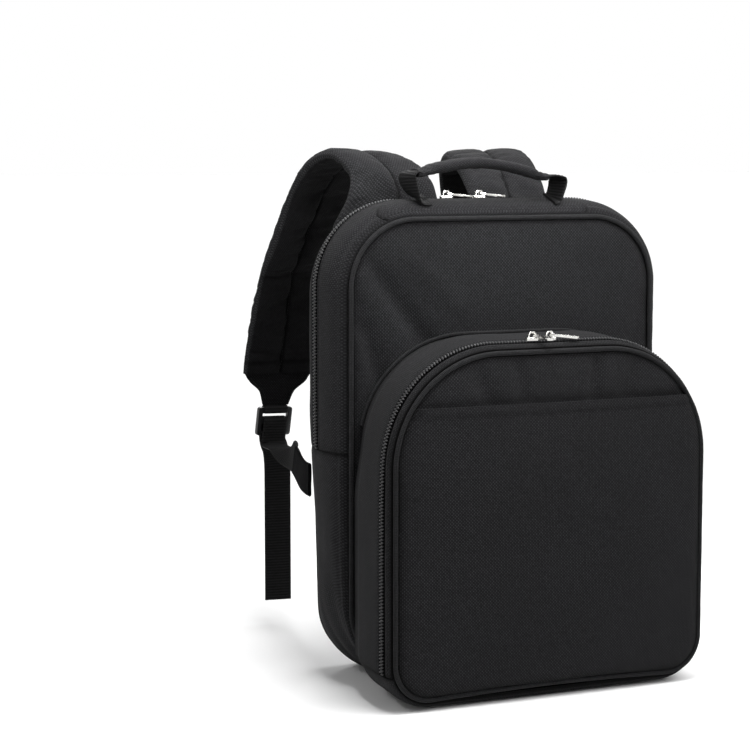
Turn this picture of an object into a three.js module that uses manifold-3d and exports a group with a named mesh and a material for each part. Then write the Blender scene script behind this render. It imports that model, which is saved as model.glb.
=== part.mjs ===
// Picnic backpack: a soft zipped main body, a zipped front pocket, a carry handle and two
// padded shoulder straps. Millimetres, +Z up. The front faces -Y. The origin is the middle of
// the flat bottom of the main body.
import * as THREE from 'three';
import { mergeVertices } from 'three/addons/utils/BufferGeometryUtils.js';
import Module from 'manifold-3d';

const wasm = await Module();
wasm.setup();

// Cloth, piping and the clearance between neighbouring pieces
const CLOTH = 2;
const PIPING_RADIUS = 2.5;
const GAP = 0.3;

// Main body, measured at its piping
const MAIN_HALF_WIDTH = 140;
const MAIN_TOP = 386;
const MAIN_BOTTOM = 10;
const MAIN_BACK_BOTTOM = 4.5;
const MAIN_DEPTH = 79;
const MAIN_TOP_RADIUS = 57;
const MAIN_BOTTOM_RADIUS = 60;
const MAIN_BULGE = 14.4;
const MAIN_FRONT_CROWN = 6;
const MAIN_BACK_CROWN = 6;
const BACK_PADDING = 7;
const SIDE_SEAM_HEIGHT = 195;
const MAIN_ZIP_SETBACK = 43;
const MAIN_TUCK = 6;
const TUCK_POWER = 0.7;

// Front pocket, measured at its piping and where it meets the main panel
const POCKET_HALF_WIDTH = 139.3;
const POCKET_TOP = 282.4;
const POCKET_BOTTOM = 7.6;
const POCKET_DEPTH = 85.6;
const POCKET_TOP_RADIUS = 89;
const POCKET_BOTTOM_RADIUS = 32;
const POCKET_BULGE = 6.5;
const POCKET_CROWN = 6;
const POCKET_BOTTOM_BOW = 4;
const POCKET_REAR_INSET = 7.3;
const POCKET_REAR_RISE = 6.6;
const POCKET_FLARE = 6;
const POCKET_FLARE_START = 212;
const POCKET_FLARE_END = 160;
const POCKET_ZIP_SETBACK = 14;
const POCKET_ZIP_END_HEIGHT = 29;
const SLIP_HEIGHT = 242;
const SLIP_LAYER = 1.6;
const SLIP_GAP = 1.2;
const WELT_RADIUS = 1.5;
const WELT_END_HEIGHT = 216;

// Zippers
const ZIP_COIL_WIDTH = 5.5;
const ZIP_COIL_CROWN = 0.8;
const ZIP_TAPE_WIDTH = 16;
const ZIP_TAPE = 1;
const ZIP_SLOT = 9;
const SLIDER_LENGTH = 11;
const SLIDER_WIDTH = 8;
const SLIDER_PLATE = 2.8;
const BRIDGE_LENGTH = 7.5;
const BRIDGE_WIDTH = 2;
const BRIDGE_HEIGHT = 5.2;
const BRIDGE_WIRE = 1.3;
const BRIDGE_SHOULDER = 0.6;
const BRIDGE_CROWN = 0.55;
const PULL_LENGTH = 23;
const PULL_WIDTH = 6.5;
const PULL_THICKNESS = 1.3;
const PULL_EYE = 2.6;
const PULL_LIFT = 0.6;
const PULL_DIP = 6;
const MAIN_SLIDER_LEFT_X = -34;
const MAIN_SLIDER_RIGHT_X = -3;
const POCKET_SLIDER_LEFT_X = -13;
const POCKET_SLIDER_RIGHT_X = 3;

// Carry handle, which leans a little to the left
const HANDLE_SETBACK = 17;
const HANDLE_STRIP_LEFT = -109;
const HANDLE_STRIP_RIGHT = 88;
const HANDLE_STRIP_WIDTH = 27;
const HANDLE_STRIP_THICKNESS = 1.6;
const HANDLE_LEFT = { foot: -71, bulge: 12, rise: 22, grip: -72 };
const HANDLE_RIGHT = { foot: 53, bulge: 6, rise: 18.5, grip: 41 };
const HANDLE_ARCH = 9;
const HANDLE_WEBBING_WIDTH = 24;
const HANDLE_TWIST = 12;
const GRIP_WIDTH = 20;
const GRIP_THICKNESS = 8.5;
const GRIP_END_THICKNESS = 6.4;
const GRIP_TAPER = 3;

// Webbing and shoulder straps
const WEBBING_WIDTH = 25;
const WEBBING = 1.7;
const STRAP_WIDTH = 75;
const STRAP_THICKNESS = 11;
const ROOT_CLEARANCE = 1.1;
const TAB_LENGTH = 30;
const TAB_THICKNESS = 4;
const TAB_BEND = 6;
const TAB_TURN = 0.4;
const WING_THICKNESS = 3;
const WING_BEND = 0.35;
const LEFT_STRAP = {
  root: 60, spread: 50, reach: 163, rise: 48.5, drop: 148,
  hang: { out: 0.07, back: 0.12 }, wing: { out: -11, back: 58, up: 8, twist: 0.1 }, sag: 0,
  tail: { inward: 8.5, turn: -8, length: 141 },
};
const RIGHT_STRAP = {
  root: 47, spread: 91, reach: 118, rise: 50, drop: 226,
  hang: { out: 0, back: -0.15 }, wing: { out: -12, back: 28, up: -34, twist: 0.85 }, sag: 12,
  tail: { inward: 2, turn: 0, length: 70 },
};
const WING_LOW = 149;
const WING_HIGH = 178;

// The adjusting webbing near its buckle: where it comes in, where it leaves and how its tail hangs
const FOOT_DROP = 9;
const FOOT_SPREAD = 2;
const ENTRY_DROP = 2;
const EXIT_DROP = 3;
const TAIL_BACK = 3;
const TAIL_DROP = 14;
const LEAD_SHARE = 0.85;
const LEAD_EASE = 0.4;
const LEAD_TURN = 0.6;

// Ladder buckles
const BUCKLE_SIDE = 4.5;
const BUCKLE_BAR = 4.2;
const BUCKLE_SLOT = 7;
const BUCKLE_THICKNESS = 4;
const BUCKLE_CORNER = 3;
const BUCKLE_PLAY = 0.6;
const BUCKLE_SIDE_PLAY = 1;
const BUCKLE_HEIGHT = 3 * BUCKLE_BAR + 2 * BUCKLE_SLOT;

// Facets
const CORNER_STEPS = 6;
const STRAIGHT_STEPS = 3;
const TUBE_SIDES = 6;
const STRAP_STEPS = 24;
const TAB_STEPS = 6;
const WING_STEPS = 6;
const LEAD_STEPS = 8;
const TAIL_STEPS = 3;
const LOOP_STEPS = 14;
const GRIP_STEPS = 12;
const GRIP_SIDES = 10;
const SLIP_COLUMNS = 8;
const SLIP_CORNER_STEPS = 4;
const SLIP_STEPS = 3;

const FRONT_Y = -MAIN_DEPTH / 2;
const BACK_Y = MAIN_DEPTH / 2;
const POCKET_FRONT_Y = FRONT_Y - POCKET_DEPTH;
const MAIN_ZIP_Y = FRONT_Y + MAIN_ZIP_SETBACK;
const POCKET_ZIP_Y = POCKET_FRONT_Y + POCKET_ZIP_SETBACK;

const { lerp, smoothstep, degToRad } = THREE.MathUtils;
const vec = (x, y, z) => new THREE.Vector3(x, y, z);

const FABRIC = { color: 0x2c2d30, roughness: 0.85, metalness: 0 };
const PADDED_FABRIC = { color: 0x26272a, roughness: 0.88, metalness: 0 };
const WEBBING_LOOK = { color: 0x141416, roughness: 0.75, metalness: 0 };
const ZIP_LOOK = { color: 0x19191b, roughness: 0.6, metalness: 0 };
const NICKEL = { color: 0xd9d8d4, roughness: 0.22, metalness: 1 };
const PLASTIC = { color: 0x1a1b1d, roughness: 0.45, metalness: 0 };

const backpack = new THREE.Group();

function add(name, geometry, look, parent = backpack) {
  const mesh = new THREE.Mesh(geometry, new THREE.MeshStandardMaterial({ ...look, flatShading: true }));
  mesh.name = name;
  parent.add(mesh);
  return mesh;
}

// Turns a list of corners and triangles into a geometry whose faces point outwards
function solidFrom(points, faces) {
  let volume = 0;
  for (const [a, b, c] of faces) {
    volume += points[a].dot(points[b].clone().cross(points[c]));
  }
  const wound = volume > 0 ? faces : faces.map(([a, b, c]) => [a, c, b]);
  const geometry = new THREE.BufferGeometry();
  geometry.setAttribute('position', new THREE.Float32BufferAttribute(points.flatMap((p) => p.toArray()), 3));
  geometry.setIndex(wound.flat());
  return geometry;
}

// Skins a row of sections. Each section is a closed list whose first half and reversed second half
// face each other, and both halves split their quads the same way, so that a thin band keeps its
// thickness where it twists. Ends close across the halves, or to one middle point, or join in a loop.
function loft(sections, ends = 'across') {
  const count = sections[0].length;
  const points = sections.flat();
  const faces = [];
  const last = ends === 'loop' ? sections.length : sections.length - 1;
  for (let i = 0; i < last; i++) {
    const near = i * count;
    const far = ((i + 1) % sections.length) * count;
    for (let j = 0; j < count; j++) {
      const k = (j + 1) % count;
      if (j < count / 2) {
        faces.push([near + j, far + j, near + k], [near + k, far + j, far + k]);
      } else {
        faces.push([near + j, far + j, far + k], [near + j, far + k, near + k]);
      }
    }
  }
  const close = (start, turned) => {
    const cap = (a, b, c) => faces.push(turned ? [a, c, b] : [a, b, c]);
    if (ends === 'middle') {
      const centre = points.length;
      const ring = points.slice(start, start + count);
      points.push(ring.reduce((sum, p) => sum.add(p), vec(0, 0, 0)).divideScalar(count));
      for (let j = 0; j < count; j++) cap(start + j, start + ((j + 1) % count), centre);
      return;
    }
    for (let j = 0; j < count / 2 - 1; j++) {
      const opposite = count - 1 - j;
      cap(start + j, start + j + 1, start + opposite);
      cap(start + j + 1, start + opposite - 1, start + opposite);
    }
  };
  if (ends !== 'loop') {
    close(0, false);
    close((sections.length - 1) * count, true);
  }
  return solidFrom(points, faces);
}

// Reads a column of a table at any place between its rows, along a smooth curve
function column(rows, key, place) {
  const at = THREE.MathUtils.clamp(place, 0, 1) * (rows.length - 1);
  const i = Math.min(Math.floor(at), rows.length - 2);
  const value = (n) => rows[THREE.MathUtils.clamp(n, 0, rows.length - 1)][key];
  const t = at - i;
  const slopeStart = (value(i + 1) - value(i - 1)) / 2;
  const slopeEnd = (value(i + 2) - value(i)) / 2;
  const rise = value(i + 1) - value(i);
  return value(i) + t * (slopeStart + t * (3 * rise - 2 * slopeStart - slopeEnd
    + t * (slopeStart + slopeEnd - 2 * rise)));
}

// Reads one column of a table against another, in straight lines
function between(rows, keyIn, keyOut, value) {
  const next = rows.findIndex((row) => row[keyIn] >= value);
  if (next === 0) return rows[0][keyOut];
  if (next < 0) return rows.at(-1)[keyOut];
  const [a, b] = [rows[next - 1], rows[next]];
  return lerp(a[keyOut], b[keyOut], (value - a[keyIn]) / (b[keyIn] - a[keyIn]));
}

// Outlines: points with outward normals, in the plane of a panel
function line(from, to, steps, nx, nz) {
  return Array.from({ length: steps - 1 }, (_, i) => ({
    x: lerp(from[0], to[0], (i + 1) / steps), z: lerp(from[1], to[1], (i + 1) / steps), nx, nz,
  }));
}

function corner(cx, cz, radius, from, to) {
  return Array.from({ length: CORNER_STEPS + 1 }, (_, i) => {
    const angle = lerp(from, to, i / CORNER_STEPS);
    const [nx, nz] = [Math.cos(angle), Math.sin(angle)];
    return { x: cx + radius * nx, z: cz + radius * nz, nx, nz };
  });
}

// The outline from its left side at one height, over the top and down to the same height
function arch({ half, top, topRadius }, height) {
  const [inner, shoulder] = [half - topRadius, top - topRadius];
  return [
    { x: -half, z: height, nx: -1, nz: 0 },
    ...line([-half, height], [-half, shoulder], STRAIGHT_STEPS, -1, 0),
    ...corner(-inner, shoulder, topRadius, Math.PI, Math.PI / 2),
    ...line([-inner, top], [inner, top], STRAIGHT_STEPS, 0, 1),
    ...corner(inner, shoulder, topRadius, Math.PI / 2, 0),
    ...line([half, shoulder], [half, height], STRAIGHT_STEPS, 1, 0),
    { x: half, z: height, nx: 1, nz: 0 },
  ];
}

// The rest of the outline, from its right side round the bottom to its left side
function trough({ half, bottom, bottomRadius }, height) {
  const [inner, turn] = [half - bottomRadius, bottom + bottomRadius];
  const ends = height > turn;
  return [
    ...(ends ? [{ x: half, z: height, nx: 1, nz: 0 }] : []),
    ...(ends ? line([half, height], [half, turn], STRAIGHT_STEPS, 1, 0) : []),
    ...corner(inner, turn, bottomRadius, 0, -Math.PI / 2),
    ...line([inner, bottom], [-inner, bottom], STRAIGHT_STEPS, 0, -1),
    ...corner(-inner, turn, bottomRadius, -Math.PI / 2, -Math.PI),
    ...(ends ? line([-half, turn], [-half, height], STRAIGHT_STEPS, -1, 0) : []),
    ...(ends ? [{ x: -half, z: height, nx: -1, nz: 0 }] : []),
  ];
}

// The part of a path where a value is above a limit, cut right at the limit
function clipPath(path, value, limit) {
  const clipped = [];
  path.forEach((point, i) => {
    const before = path[Math.max(i - 1, 0)];
    if ((value(before) > limit) !== (value(point) > limit)) {
      const share = (limit - value(before)) / (value(point) - value(before));
      const mixed = (key) => lerp(before[key], point[key], share);
      clipped.push({ x: mixed('x'), z: mixed('z'), nx: mixed('nx'), nz: mixed('nz') });
    }
    if (value(point) > limit + CLOTH) clipped.push(point);
  });
  return clipped;
}

function wholeOutline(outline) {
  const height = (outline.top + outline.bottom) / 2;
  return [...arch(outline, height), ...trough(outline, height).slice(1, -1)];
}

const place = (point, y, offset, floor = -Infinity) =>
  vec(point.x + point.nx * offset, y, Math.max(point.z + point.nz * offset, floor));

// The main body's corners between its pipings, as shares of the depth and of the corner radii:
// they sag rounder at the top of the back and low down between the pipings. Drop is how much of the
// way from the front's bottom edge to the lower one of the back is done.
const MAIN_CORNERS = [
  { depth: 0, top: 1, bottom: 0.95, drop: 0 },
  { depth: 0.25, top: 1, bottom: 1.2, drop: 0 },
  { depth: 0.55, top: 1, bottom: 1.25, drop: 0.3 },
  { depth: 0.8, top: 1.12, bottom: 1.05, drop: 0.8 },
  { depth: 1, top: 1.28, bottom: 0.85, drop: 1 },
];

function mainOutline(y) {
  const depth = (y - FRONT_Y) / MAIN_DEPTH;
  return {
    half: MAIN_HALF_WIDTH,
    top: MAIN_TOP,
    bottom: lerp(MAIN_BOTTOM, MAIN_BACK_BOTTOM, between(MAIN_CORNERS, 'depth', 'drop', depth)),
    topRadius: MAIN_TOP_RADIUS * between(MAIN_CORNERS, 'depth', 'top', depth),
    bottomRadius: MAIN_BOTTOM_RADIUS * between(MAIN_CORNERS, 'depth', 'bottom', depth),
  };
}

// Below the side seam the body narrows towards its back
function tucked(points, y) {
  const depth = (y - FRONT_Y) / MAIN_DEPTH;
  return points.map((point) => {
    const low = Math.max(1 - point.z / SIDE_SEAM_HEIGHT, 0) ** TUCK_POWER;
    return { ...point, x: point.x * (1 - MAIN_TUCK * depth * low / MAIN_HALF_WIDTH) };
  });
}

// How the gussets stand out between two pipings, as shares of the depth and of the bulge
const MAIN_SECTION = [
  { depth: 0, bulge: 0 },
  { depth: 0.1, bulge: 0.55 },
  { depth: 0.25, bulge: 0.87 },
  { depth: 0.42, bulge: 0.98 },
  { depth: 0.6, bulge: 1 },
  { depth: 0.76, bulge: 0.8 },
  { depth: 0.91, bulge: 0.42 },
  { depth: 1, bulge: 0 },
];
const POCKET_SECTION = [
  { depth: 0, bulge: 0 },
  { depth: 0.03, bulge: 0.5 },
  { depth: 0.08, bulge: 0.8 },
  { depth: 0.18, bulge: 0.97 },
  { depth: 0.4, bulge: 1 },
  { depth: 0.7, bulge: 0.8 },
  { depth: 0.88, bulge: 0.15 },
  { depth: 1, bulge: 0 },
];

const mainBulge = (y) => MAIN_BULGE * between(MAIN_SECTION, 'depth', 'bulge', (y - FRONT_Y) / MAIN_DEPTH);
const pocketBulge = (y) =>
  POCKET_BULGE * between(POCKET_SECTION, 'depth', 'bulge', (y - POCKET_FRONT_Y) / POCKET_DEPTH);

// Soft dents, as shares of the half width, of the height and of the deepest dent
const DENT_DEPTH = 5;
const PANEL_DENTS = [
  { across: -0.62, up: 0.8, wide: 0.16, high: 0.16, deep: 0.55 },
  { across: -0.86, up: 0.62, wide: 0.12, high: 0.22, deep: 0.4 },
  { across: 0.6, up: 0.88, wide: 0.2, high: 0.06, deep: 0.2 },
];
const SIDE_DENTS = [
  { across: -1, up: 0.12, setback: 0.22, wide: 0.17, high: 0.12, deep: 1 },
  { across: -1, up: 0.24, setback: 0.72, wide: 0.4, high: 0.2, deep: 0.75 },
  { across: 1, up: 0.2, setback: 0.5, wide: 0.3, high: 0.14, deep: 0.5 },
];

const hump = (distance) => Math.exp(-distance * distance);

function panelDent(x, z) {
  return DENT_DEPTH * PANEL_DENTS.reduce((sum, dent) => sum + dent.deep
    * hump((x / MAIN_HALF_WIDTH - dent.across) / dent.wide)
    * hump((z / MAIN_TOP - dent.up) / dent.high), 0);
}

function sideDent(point, y) {
  const setback = (y - FRONT_Y) / MAIN_DEPTH;
  return DENT_DEPTH * SIDE_DENTS.reduce((sum, dent) => sum + dent.deep
    * Math.max(point.nx * dent.across, 0)
    * hump((setback - dent.setback) / dent.wide)
    * hump((point.z / MAIN_TOP - dent.up) / dent.high), 0);
}

// A band of cloth that follows an outline. Each row gives its depth and its outer and inner offset.
function band(rows, pathAt, dent = () => 0) {
  const paths = rows.map((row) => pathAt(row.y));
  return paths[0].map((_, i) => {
    const spot = (row, offset, floor) => {
      const point = paths[rows.indexOf(row)][i];
      return place(point, row.y, offset - dent(point, row.y), floor);
    };
    const outer = rows.map((row) => spot(row, row.outer, row.outerFloor ?? 0));
    const inner = rows.map((row) => spot(row, row.inner, row.innerFloor ?? CLOTH));
    return [...outer, ...inner.reverse()];
  });
}

const clothRows = (depths, bulge) =>
  depths.map((y) => ({ y, outer: bulge(y), inner: bulge(y) - CLOTH }));

// The depths of a table's rows that lie well between two depths, with those two
function depthsBetween(section, start, depth, from, to) {
  const depths = section.map((row) => start + row.depth * depth);
  return [from, ...depths.filter((y) => y > from + CLOTH && y < to - CLOTH), to];
}

const spread = (from, to, steps) => Array.from({ length: steps + 1 }, (_, i) => lerp(from, to, i / steps));

// A zipper: a flat tape under the folded cloth edges, with the coil standing up between them
function zipRows(y, bulge) {
  const [tape, coil] = [ZIP_TAPE_WIDTH / 2, ZIP_COIL_WIDTH / 2];
  const ridge = coil * ZIP_COIL_CROWN;
  const tapeTop = (at) => bulge(at) - CLOTH - GAP;
  const row = (at, outer) => ({ y: at, outer, inner: tapeTop(at) - ZIP_TAPE, outerFloor: -Infinity });
  return [
    row(y - tape, tapeTop(y - tape)),
    row(y - coil, tapeTop(y - coil)),
    row(y - ridge, bulge(y)),
    row(y + ridge, bulge(y)),
    row(y + coil, tapeTop(y + coil)),
    row(y + tape, tapeTop(y + tape)),
  ];
}

// A round cord that follows a closed or open outline, at a depth and an offset found for each point
function cord(path, depthAt, offsetAt, radius, ends) {
  return loft(path.map((point) => Array.from({ length: TUBE_SIDES }, (_, j) => {
    const angle = ((j + 0.5) / TUBE_SIDES) * 2 * Math.PI;
    const [back, out] = [radius * Math.sin(angle), radius * Math.cos(angle)];
    return place(point, depthAt(point) + back, offsetAt(point) + out);
  })), ends);
}

const piping = (path, y) => cord(path, () => y, () => 0, PIPING_RADIUS, 'loop');

const CROWN_POWER = 2.6;
function crown(outline, height, x, z) {
  const middle = (outline.top + outline.bottom) / 2;
  const across = 1 - Math.abs(x / outline.half) ** CROWN_POWER;
  const up = 1 - Math.abs((z - middle) / (outline.top - middle)) ** CROWN_POWER;
  return height * Math.max(across, 0) * Math.max(up, 0);
}

// A panel inside its piping: rings of points from the middle to the rim, on two faces
const RING_SHARES = [0.3, 0.6, 0.85, 1];
const PADDING_EDGE = 0.85;
function panel(outline, path, outerY, innerY) {
  const middle = (outline.top + outline.bottom) / 2;
  const ring = (share, surface) => path.map((point) => {
    const rim = place(point, 0, -PIPING_RADIUS - GAP);
    const [x, z] = [rim.x * share, lerp(middle, rim.z, share)];
    return vec(x, surface(x, z, share), z);
  });
  return loft([
    ...RING_SHARES.map((share) => ring(share, outerY)),
    ...RING_SHARES.toReversed().map((share) => ring(share, innerY)),
  ], 'middle');
}

const mainFrontSurface = (x, z) =>
  FRONT_Y - crown(mainOutline(FRONT_Y), MAIN_FRONT_CROWN, x, z) + panelDent(x, z) - CLOTH / 2;

function buildMainBody() {
  const front = mainOutline(FRONT_Y);
  const back = mainOutline(BACK_Y);
  const frontPath = wholeOutline(front);
  add('main_front_panel', panel(front, frontPath, mainFrontSurface,
    (x, z) => mainFrontSurface(x, z) + CLOTH), FABRIC);

  const padding = (share) => lerp(BACK_PADDING, CLOTH, smoothstep(share, PADDING_EDGE, 1));
  const backSurface = (x, z) => BACK_Y + crown(back, MAIN_BACK_CROWN, x, z) + CLOTH / 2;
  const backPath = tucked(wholeOutline(back), BACK_Y);
  add('main_back_panel', panel(back, backPath, backSurface,
    (x, z, share) => backSurface(x, z) - padding(share)), PADDED_FABRIC);

  add('main_front_piping', piping(frontPath, FRONT_Y), FABRIC);
  add('main_back_piping', piping(backPath, BACK_Y), FABRIC);

  const seam = PIPING_RADIUS + GAP;
  const [zipFront, zipBack] = [MAIN_ZIP_Y - ZIP_SLOT / 2, MAIN_ZIP_Y + ZIP_SLOT / 2];
  const rows = (from, to) => clothRows(depthsBetween(MAIN_SECTION, FRONT_Y, MAIN_DEPTH, from, to), mainBulge);
  const upper = (y) => arch(mainOutline(y), SIDE_SEAM_HEIGHT + GAP / 2);
  const lower = (y) => tucked(trough(mainOutline(y), SIDE_SEAM_HEIGHT - GAP / 2), y);
  add('main_gusset_upper_front', loft(band(rows(FRONT_Y + seam, zipFront), upper, sideDent)), FABRIC);
  add('main_gusset_upper_back', loft(band(rows(zipBack, BACK_Y - seam), upper, sideDent)), FABRIC);
  add('main_gusset_lower', loft(band(rows(FRONT_Y + seam, BACK_Y - seam), lower, sideDent)), FABRIC);
  add('main_zipper', loft(band(zipRows(MAIN_ZIP_Y, mainBulge), upper, sideDent)), ZIP_LOOK);
}

// How far the pocket's bottom edge is lifted, as shares of its depth and of the bow at the front
const POCKET_LIFT = [
  { depth: 0, lift: 1 },
  { depth: 0.03, lift: 0.1 },
  { depth: 0.08, lift: -0.4 },
  { depth: 0.35, lift: 0 },
  { depth: 1, lift: 0 },
];

// The pocket's outline at any depth. Its rear edge flares at the sides down to the main piping.
function pocketOutline(y) {
  const toRear = (y - POCKET_FRONT_Y) / POCKET_DEPTH;
  return {
    half: POCKET_HALF_WIDTH - POCKET_REAR_INSET * toRear,
    top: POCKET_TOP + POCKET_REAR_RISE * toRear,
    bottom: POCKET_BOTTOM,
    topRadius: POCKET_TOP_RADIUS,
    bottomRadius: POCKET_BOTTOM_RADIUS,
    toRear,
  };
}

function shapePocket(outline, points) {
  const { half, bottom, bottomRadius, toRear } = outline;
  const bowed = POCKET_BOTTOM_BOW * between(POCKET_LIFT, 'depth', 'lift', toRear);
  return points.map((point) => {
    const low = Math.max(1 - (point.z - bottom) / bottomRadius, 0);
    const bow = bowed * low * Math.max(1 - (point.x / half) ** 2, 0);
    const flare = POCKET_FLARE * toRear * (1 - smoothstep(point.z, POCKET_FLARE_END, POCKET_FLARE_START));
    return { ...point, x: point.x * (1 + flare / half), z: point.z + bow };
  });
}

// Where the pocket's rear edge stops in front of the main panel and its piping
const pocketSeat = (x, z) => Math.min(mainFrontSurface(x, z), FRONT_Y - PIPING_RADIUS) - GAP;

// Half the width of an outline at one height
function halfWidthAt({ half, top, bottom, topRadius, bottomRadius }, z) {
  const [shoulder, turn] = [top - topRadius, bottom + bottomRadius];
  if (z > shoulder) return half - topRadius + Math.sqrt(Math.max(topRadius ** 2 - (z - shoulder) ** 2, 0));
  if (z < turn) return half - bottomRadius + Math.sqrt(Math.max(bottomRadius ** 2 - (turn - z) ** 2, 0));
  return half;
}

function buildPocket() {
  const front = pocketOutline(POCKET_FRONT_Y);
  const surface = (x, z) => POCKET_FRONT_Y - crown(front, POCKET_CROWN, x, z) - CLOTH / 2;
  const frontPath = shapePocket(front, wholeOutline(front));
  add('pocket_front_panel', panel(front, frontPath, surface, (x, z) => surface(x, z) + CLOTH), FABRIC);
  add('pocket_front_piping', piping(frontPath, POCKET_FRONT_Y), FABRIC);
  add('pocket_slip_panel', buildSlipPanel(front, surface), FABRIC);

  const seam = PIPING_RADIUS + GAP;
  const [zipFront, zipBack] = [POCKET_ZIP_Y - ZIP_SLOT / 2, POCKET_ZIP_Y + ZIP_SLOT / 2];
  const rear = FRONT_Y - seam;
  const rows = (from, to) =>
    clothRows(depthsBetween(POCKET_SECTION, POCKET_FRONT_Y, POCKET_DEPTH, from, to), pocketBulge);
  const seated = (sections) => sections.map((section) => section.map((p) =>
    vec(p.x, Math.min(p.y, pocketSeat(p.x, p.z)), p.z)));
  const upper = (y) => {
    const outline = pocketOutline(y);
    return shapePocket(outline, arch(outline, POCKET_ZIP_END_HEIGHT + GAP / 2));
  };
  add('pocket_gusset_front', loft(band(rows(POCKET_FRONT_Y + seam, zipFront), upper)), FABRIC);
  add('pocket_gusset_rear', loft(seated(band(rows(zipBack, rear), upper))), FABRIC);
  add('pocket_zipper', loft(band(zipRows(POCKET_ZIP_Y, pocketBulge), upper)), ZIP_LOOK);

  const floorPath = (y) => {
    const outline = pocketOutline(y);
    const turn = outline.bottom + outline.bottomRadius;
    const reach = (turn - POCKET_ZIP_END_HEIGHT + GAP / 2) / outline.bottomRadius;
    const limit = Math.asin(THREE.MathUtils.clamp(reach, 0, 1));
    return shapePocket(outline, trough(outline, turn).map((point) => squeezeCorner(point, outline, limit)));
  };
  add('pocket_gusset_bottom', loft(seated(band(rows(POCKET_FRONT_Y + seam, rear), floorPath))), FABRIC);

  const rearOutline = pocketOutline(FRONT_Y);
  const rearArch = shapePocket(rearOutline, arch(rearOutline, POCKET_ZIP_END_HEIGHT));
  const weltPath = clipPath(rearArch, (point) => point.z, WELT_END_HEIGHT);
  const weltY = (point) => mainFrontSurface(point.x, point.z) - WELT_RADIUS - GAP;
  const weltOffset = (point) => pocketBulge(weltY(point) - WELT_RADIUS) + WELT_RADIUS + GAP;
  add('pocket_rear_welt', cord(weltPath, weltY, weltOffset, WELT_RADIUS, 'across'), FABRIC);
}

// Moves the points of a bottom corner so that the corner starts lower than its full quarter turn
function squeezeCorner(point, outline, limit) {
  if (point.nx === 0) return point;
  const side = Math.sign(point.x);
  const angle = Math.atan2(-point.nz, Math.abs(point.nx));
  const kept = lerp(limit, Math.PI / 2, angle / (Math.PI / 2));
  const [nx, nz] = [side * Math.cos(kept), -Math.sin(kept)];
  const [cx, cz] = [side * (outline.half - outline.bottomRadius), outline.bottom + outline.bottomRadius];
  return { x: cx + outline.bottomRadius * nx, z: cz + outline.bottomRadius * nz, nx, nz };
}

// The slip pocket's outer layer: rows of points from the bottom to its open upper edge
function buildSlipPanel(outline, surface) {
  const margin = PIPING_RADIUS + GAP;
  const inside = { ...outline, half: outline.half - margin, bottom: outline.bottom + margin,
    top: outline.top - margin, topRadius: outline.topRadius - margin,
    bottomRadius: outline.bottomRadius - margin };
  const turn = inside.bottom + inside.bottomRadius;
  const shoulder = inside.top - inside.topRadius;
  const heights = [
    ...spread(0, Math.PI / 2, SLIP_CORNER_STEPS).map((angle) => turn - inside.bottomRadius * Math.cos(angle)),
    ...spread(turn, shoulder, SLIP_STEPS).slice(1),
    ...spread(shoulder, SLIP_HEIGHT, SLIP_STEPS).slice(1),
  ];
  const sections = heights.map((z) => {
    const half = halfWidthAt(inside, z);
    const row = (gap) => spread(-half, half, SLIP_COLUMNS).map((x) => {
      const [shaped] = shapePocket(outline, [{ x, z, nx: 0, nz: 0 }]);
      return vec(shaped.x, surface(shaped.x, shaped.z) - gap, shaped.z);
    });
    return [...row(SLIP_GAP + SLIP_LAYER), ...row(SLIP_GAP).reverse()];
  });
  return loft(sections);
}

// Height of the cloth over the top of an outline, at any place across it
function heightOver({ half, top, topRadius }, bulge, x) {
  const beyond = Math.max(Math.abs(x) - (half - topRadius), 0);
  return top - topRadius + Math.sqrt(Math.max((topRadius + bulge) ** 2 - beyond ** 2, 0));
}

function toManifold(geometry) {
  const bare = geometry.clone();
  bare.deleteAttribute('normal');
  bare.deleteAttribute('uv');
  const merged = mergeVertices(bare, 1e-4);
  return new wasm.Manifold(new wasm.Mesh({
    numProp: 3,
    vertProperties: new Float32Array(merged.attributes.position.array),
    triVerts: new Uint32Array(merged.index.array),
  }));
}

function fromManifold(solid) {
  const mesh = solid.getMesh();
  const geometry = new THREE.BufferGeometry();
  geometry.setAttribute('position', new THREE.BufferAttribute(new Float32Array(mesh.vertProperties), 3));
  geometry.setIndex(new THREE.BufferAttribute(new Uint32Array(mesh.triVerts), 1));
  return geometry;
}

// Outlines of the nickel parts: places along as shares of the length, and half widths as shares
const SLIDER_OUTLINE = [
  { along: 0, half: 0.55 },
  { along: 0.55, half: 0.75 },
  { along: 0.8, half: 1 },
  { along: 1, half: 0.6 },
];
const PULL_OUTLINE = [
  { along: 0, half: 0.62 },
  { along: 0.16, half: 0.9 },
  { along: 0.34, half: 0.55 },
  { along: 0.55, half: 0.5 },
  { along: 0.8, half: 1 },
  { along: 0.94, half: 0.85 },
  { along: 1, half: 0.45 },
];

function plateShape(outline, length, half) {
  const low = outline.map((row) => new THREE.Vector2(row.along * length, -row.half * half));
  const high = low.map((p) => new THREE.Vector2(p.x, -p.y)).reverse();
  return new THREE.Shape([...low, ...high]);
}

function archPoints(half, height) {
  return [
    new THREE.Vector2(half, 0), new THREE.Vector2(half, height * BRIDGE_SHOULDER),
    new THREE.Vector2(half * BRIDGE_CROWN, height), new THREE.Vector2(-half * BRIDGE_CROWN, height),
    new THREE.Vector2(-half, height * BRIDGE_SHOULDER), new THREE.Vector2(-half, 0),
  ];
}

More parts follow.
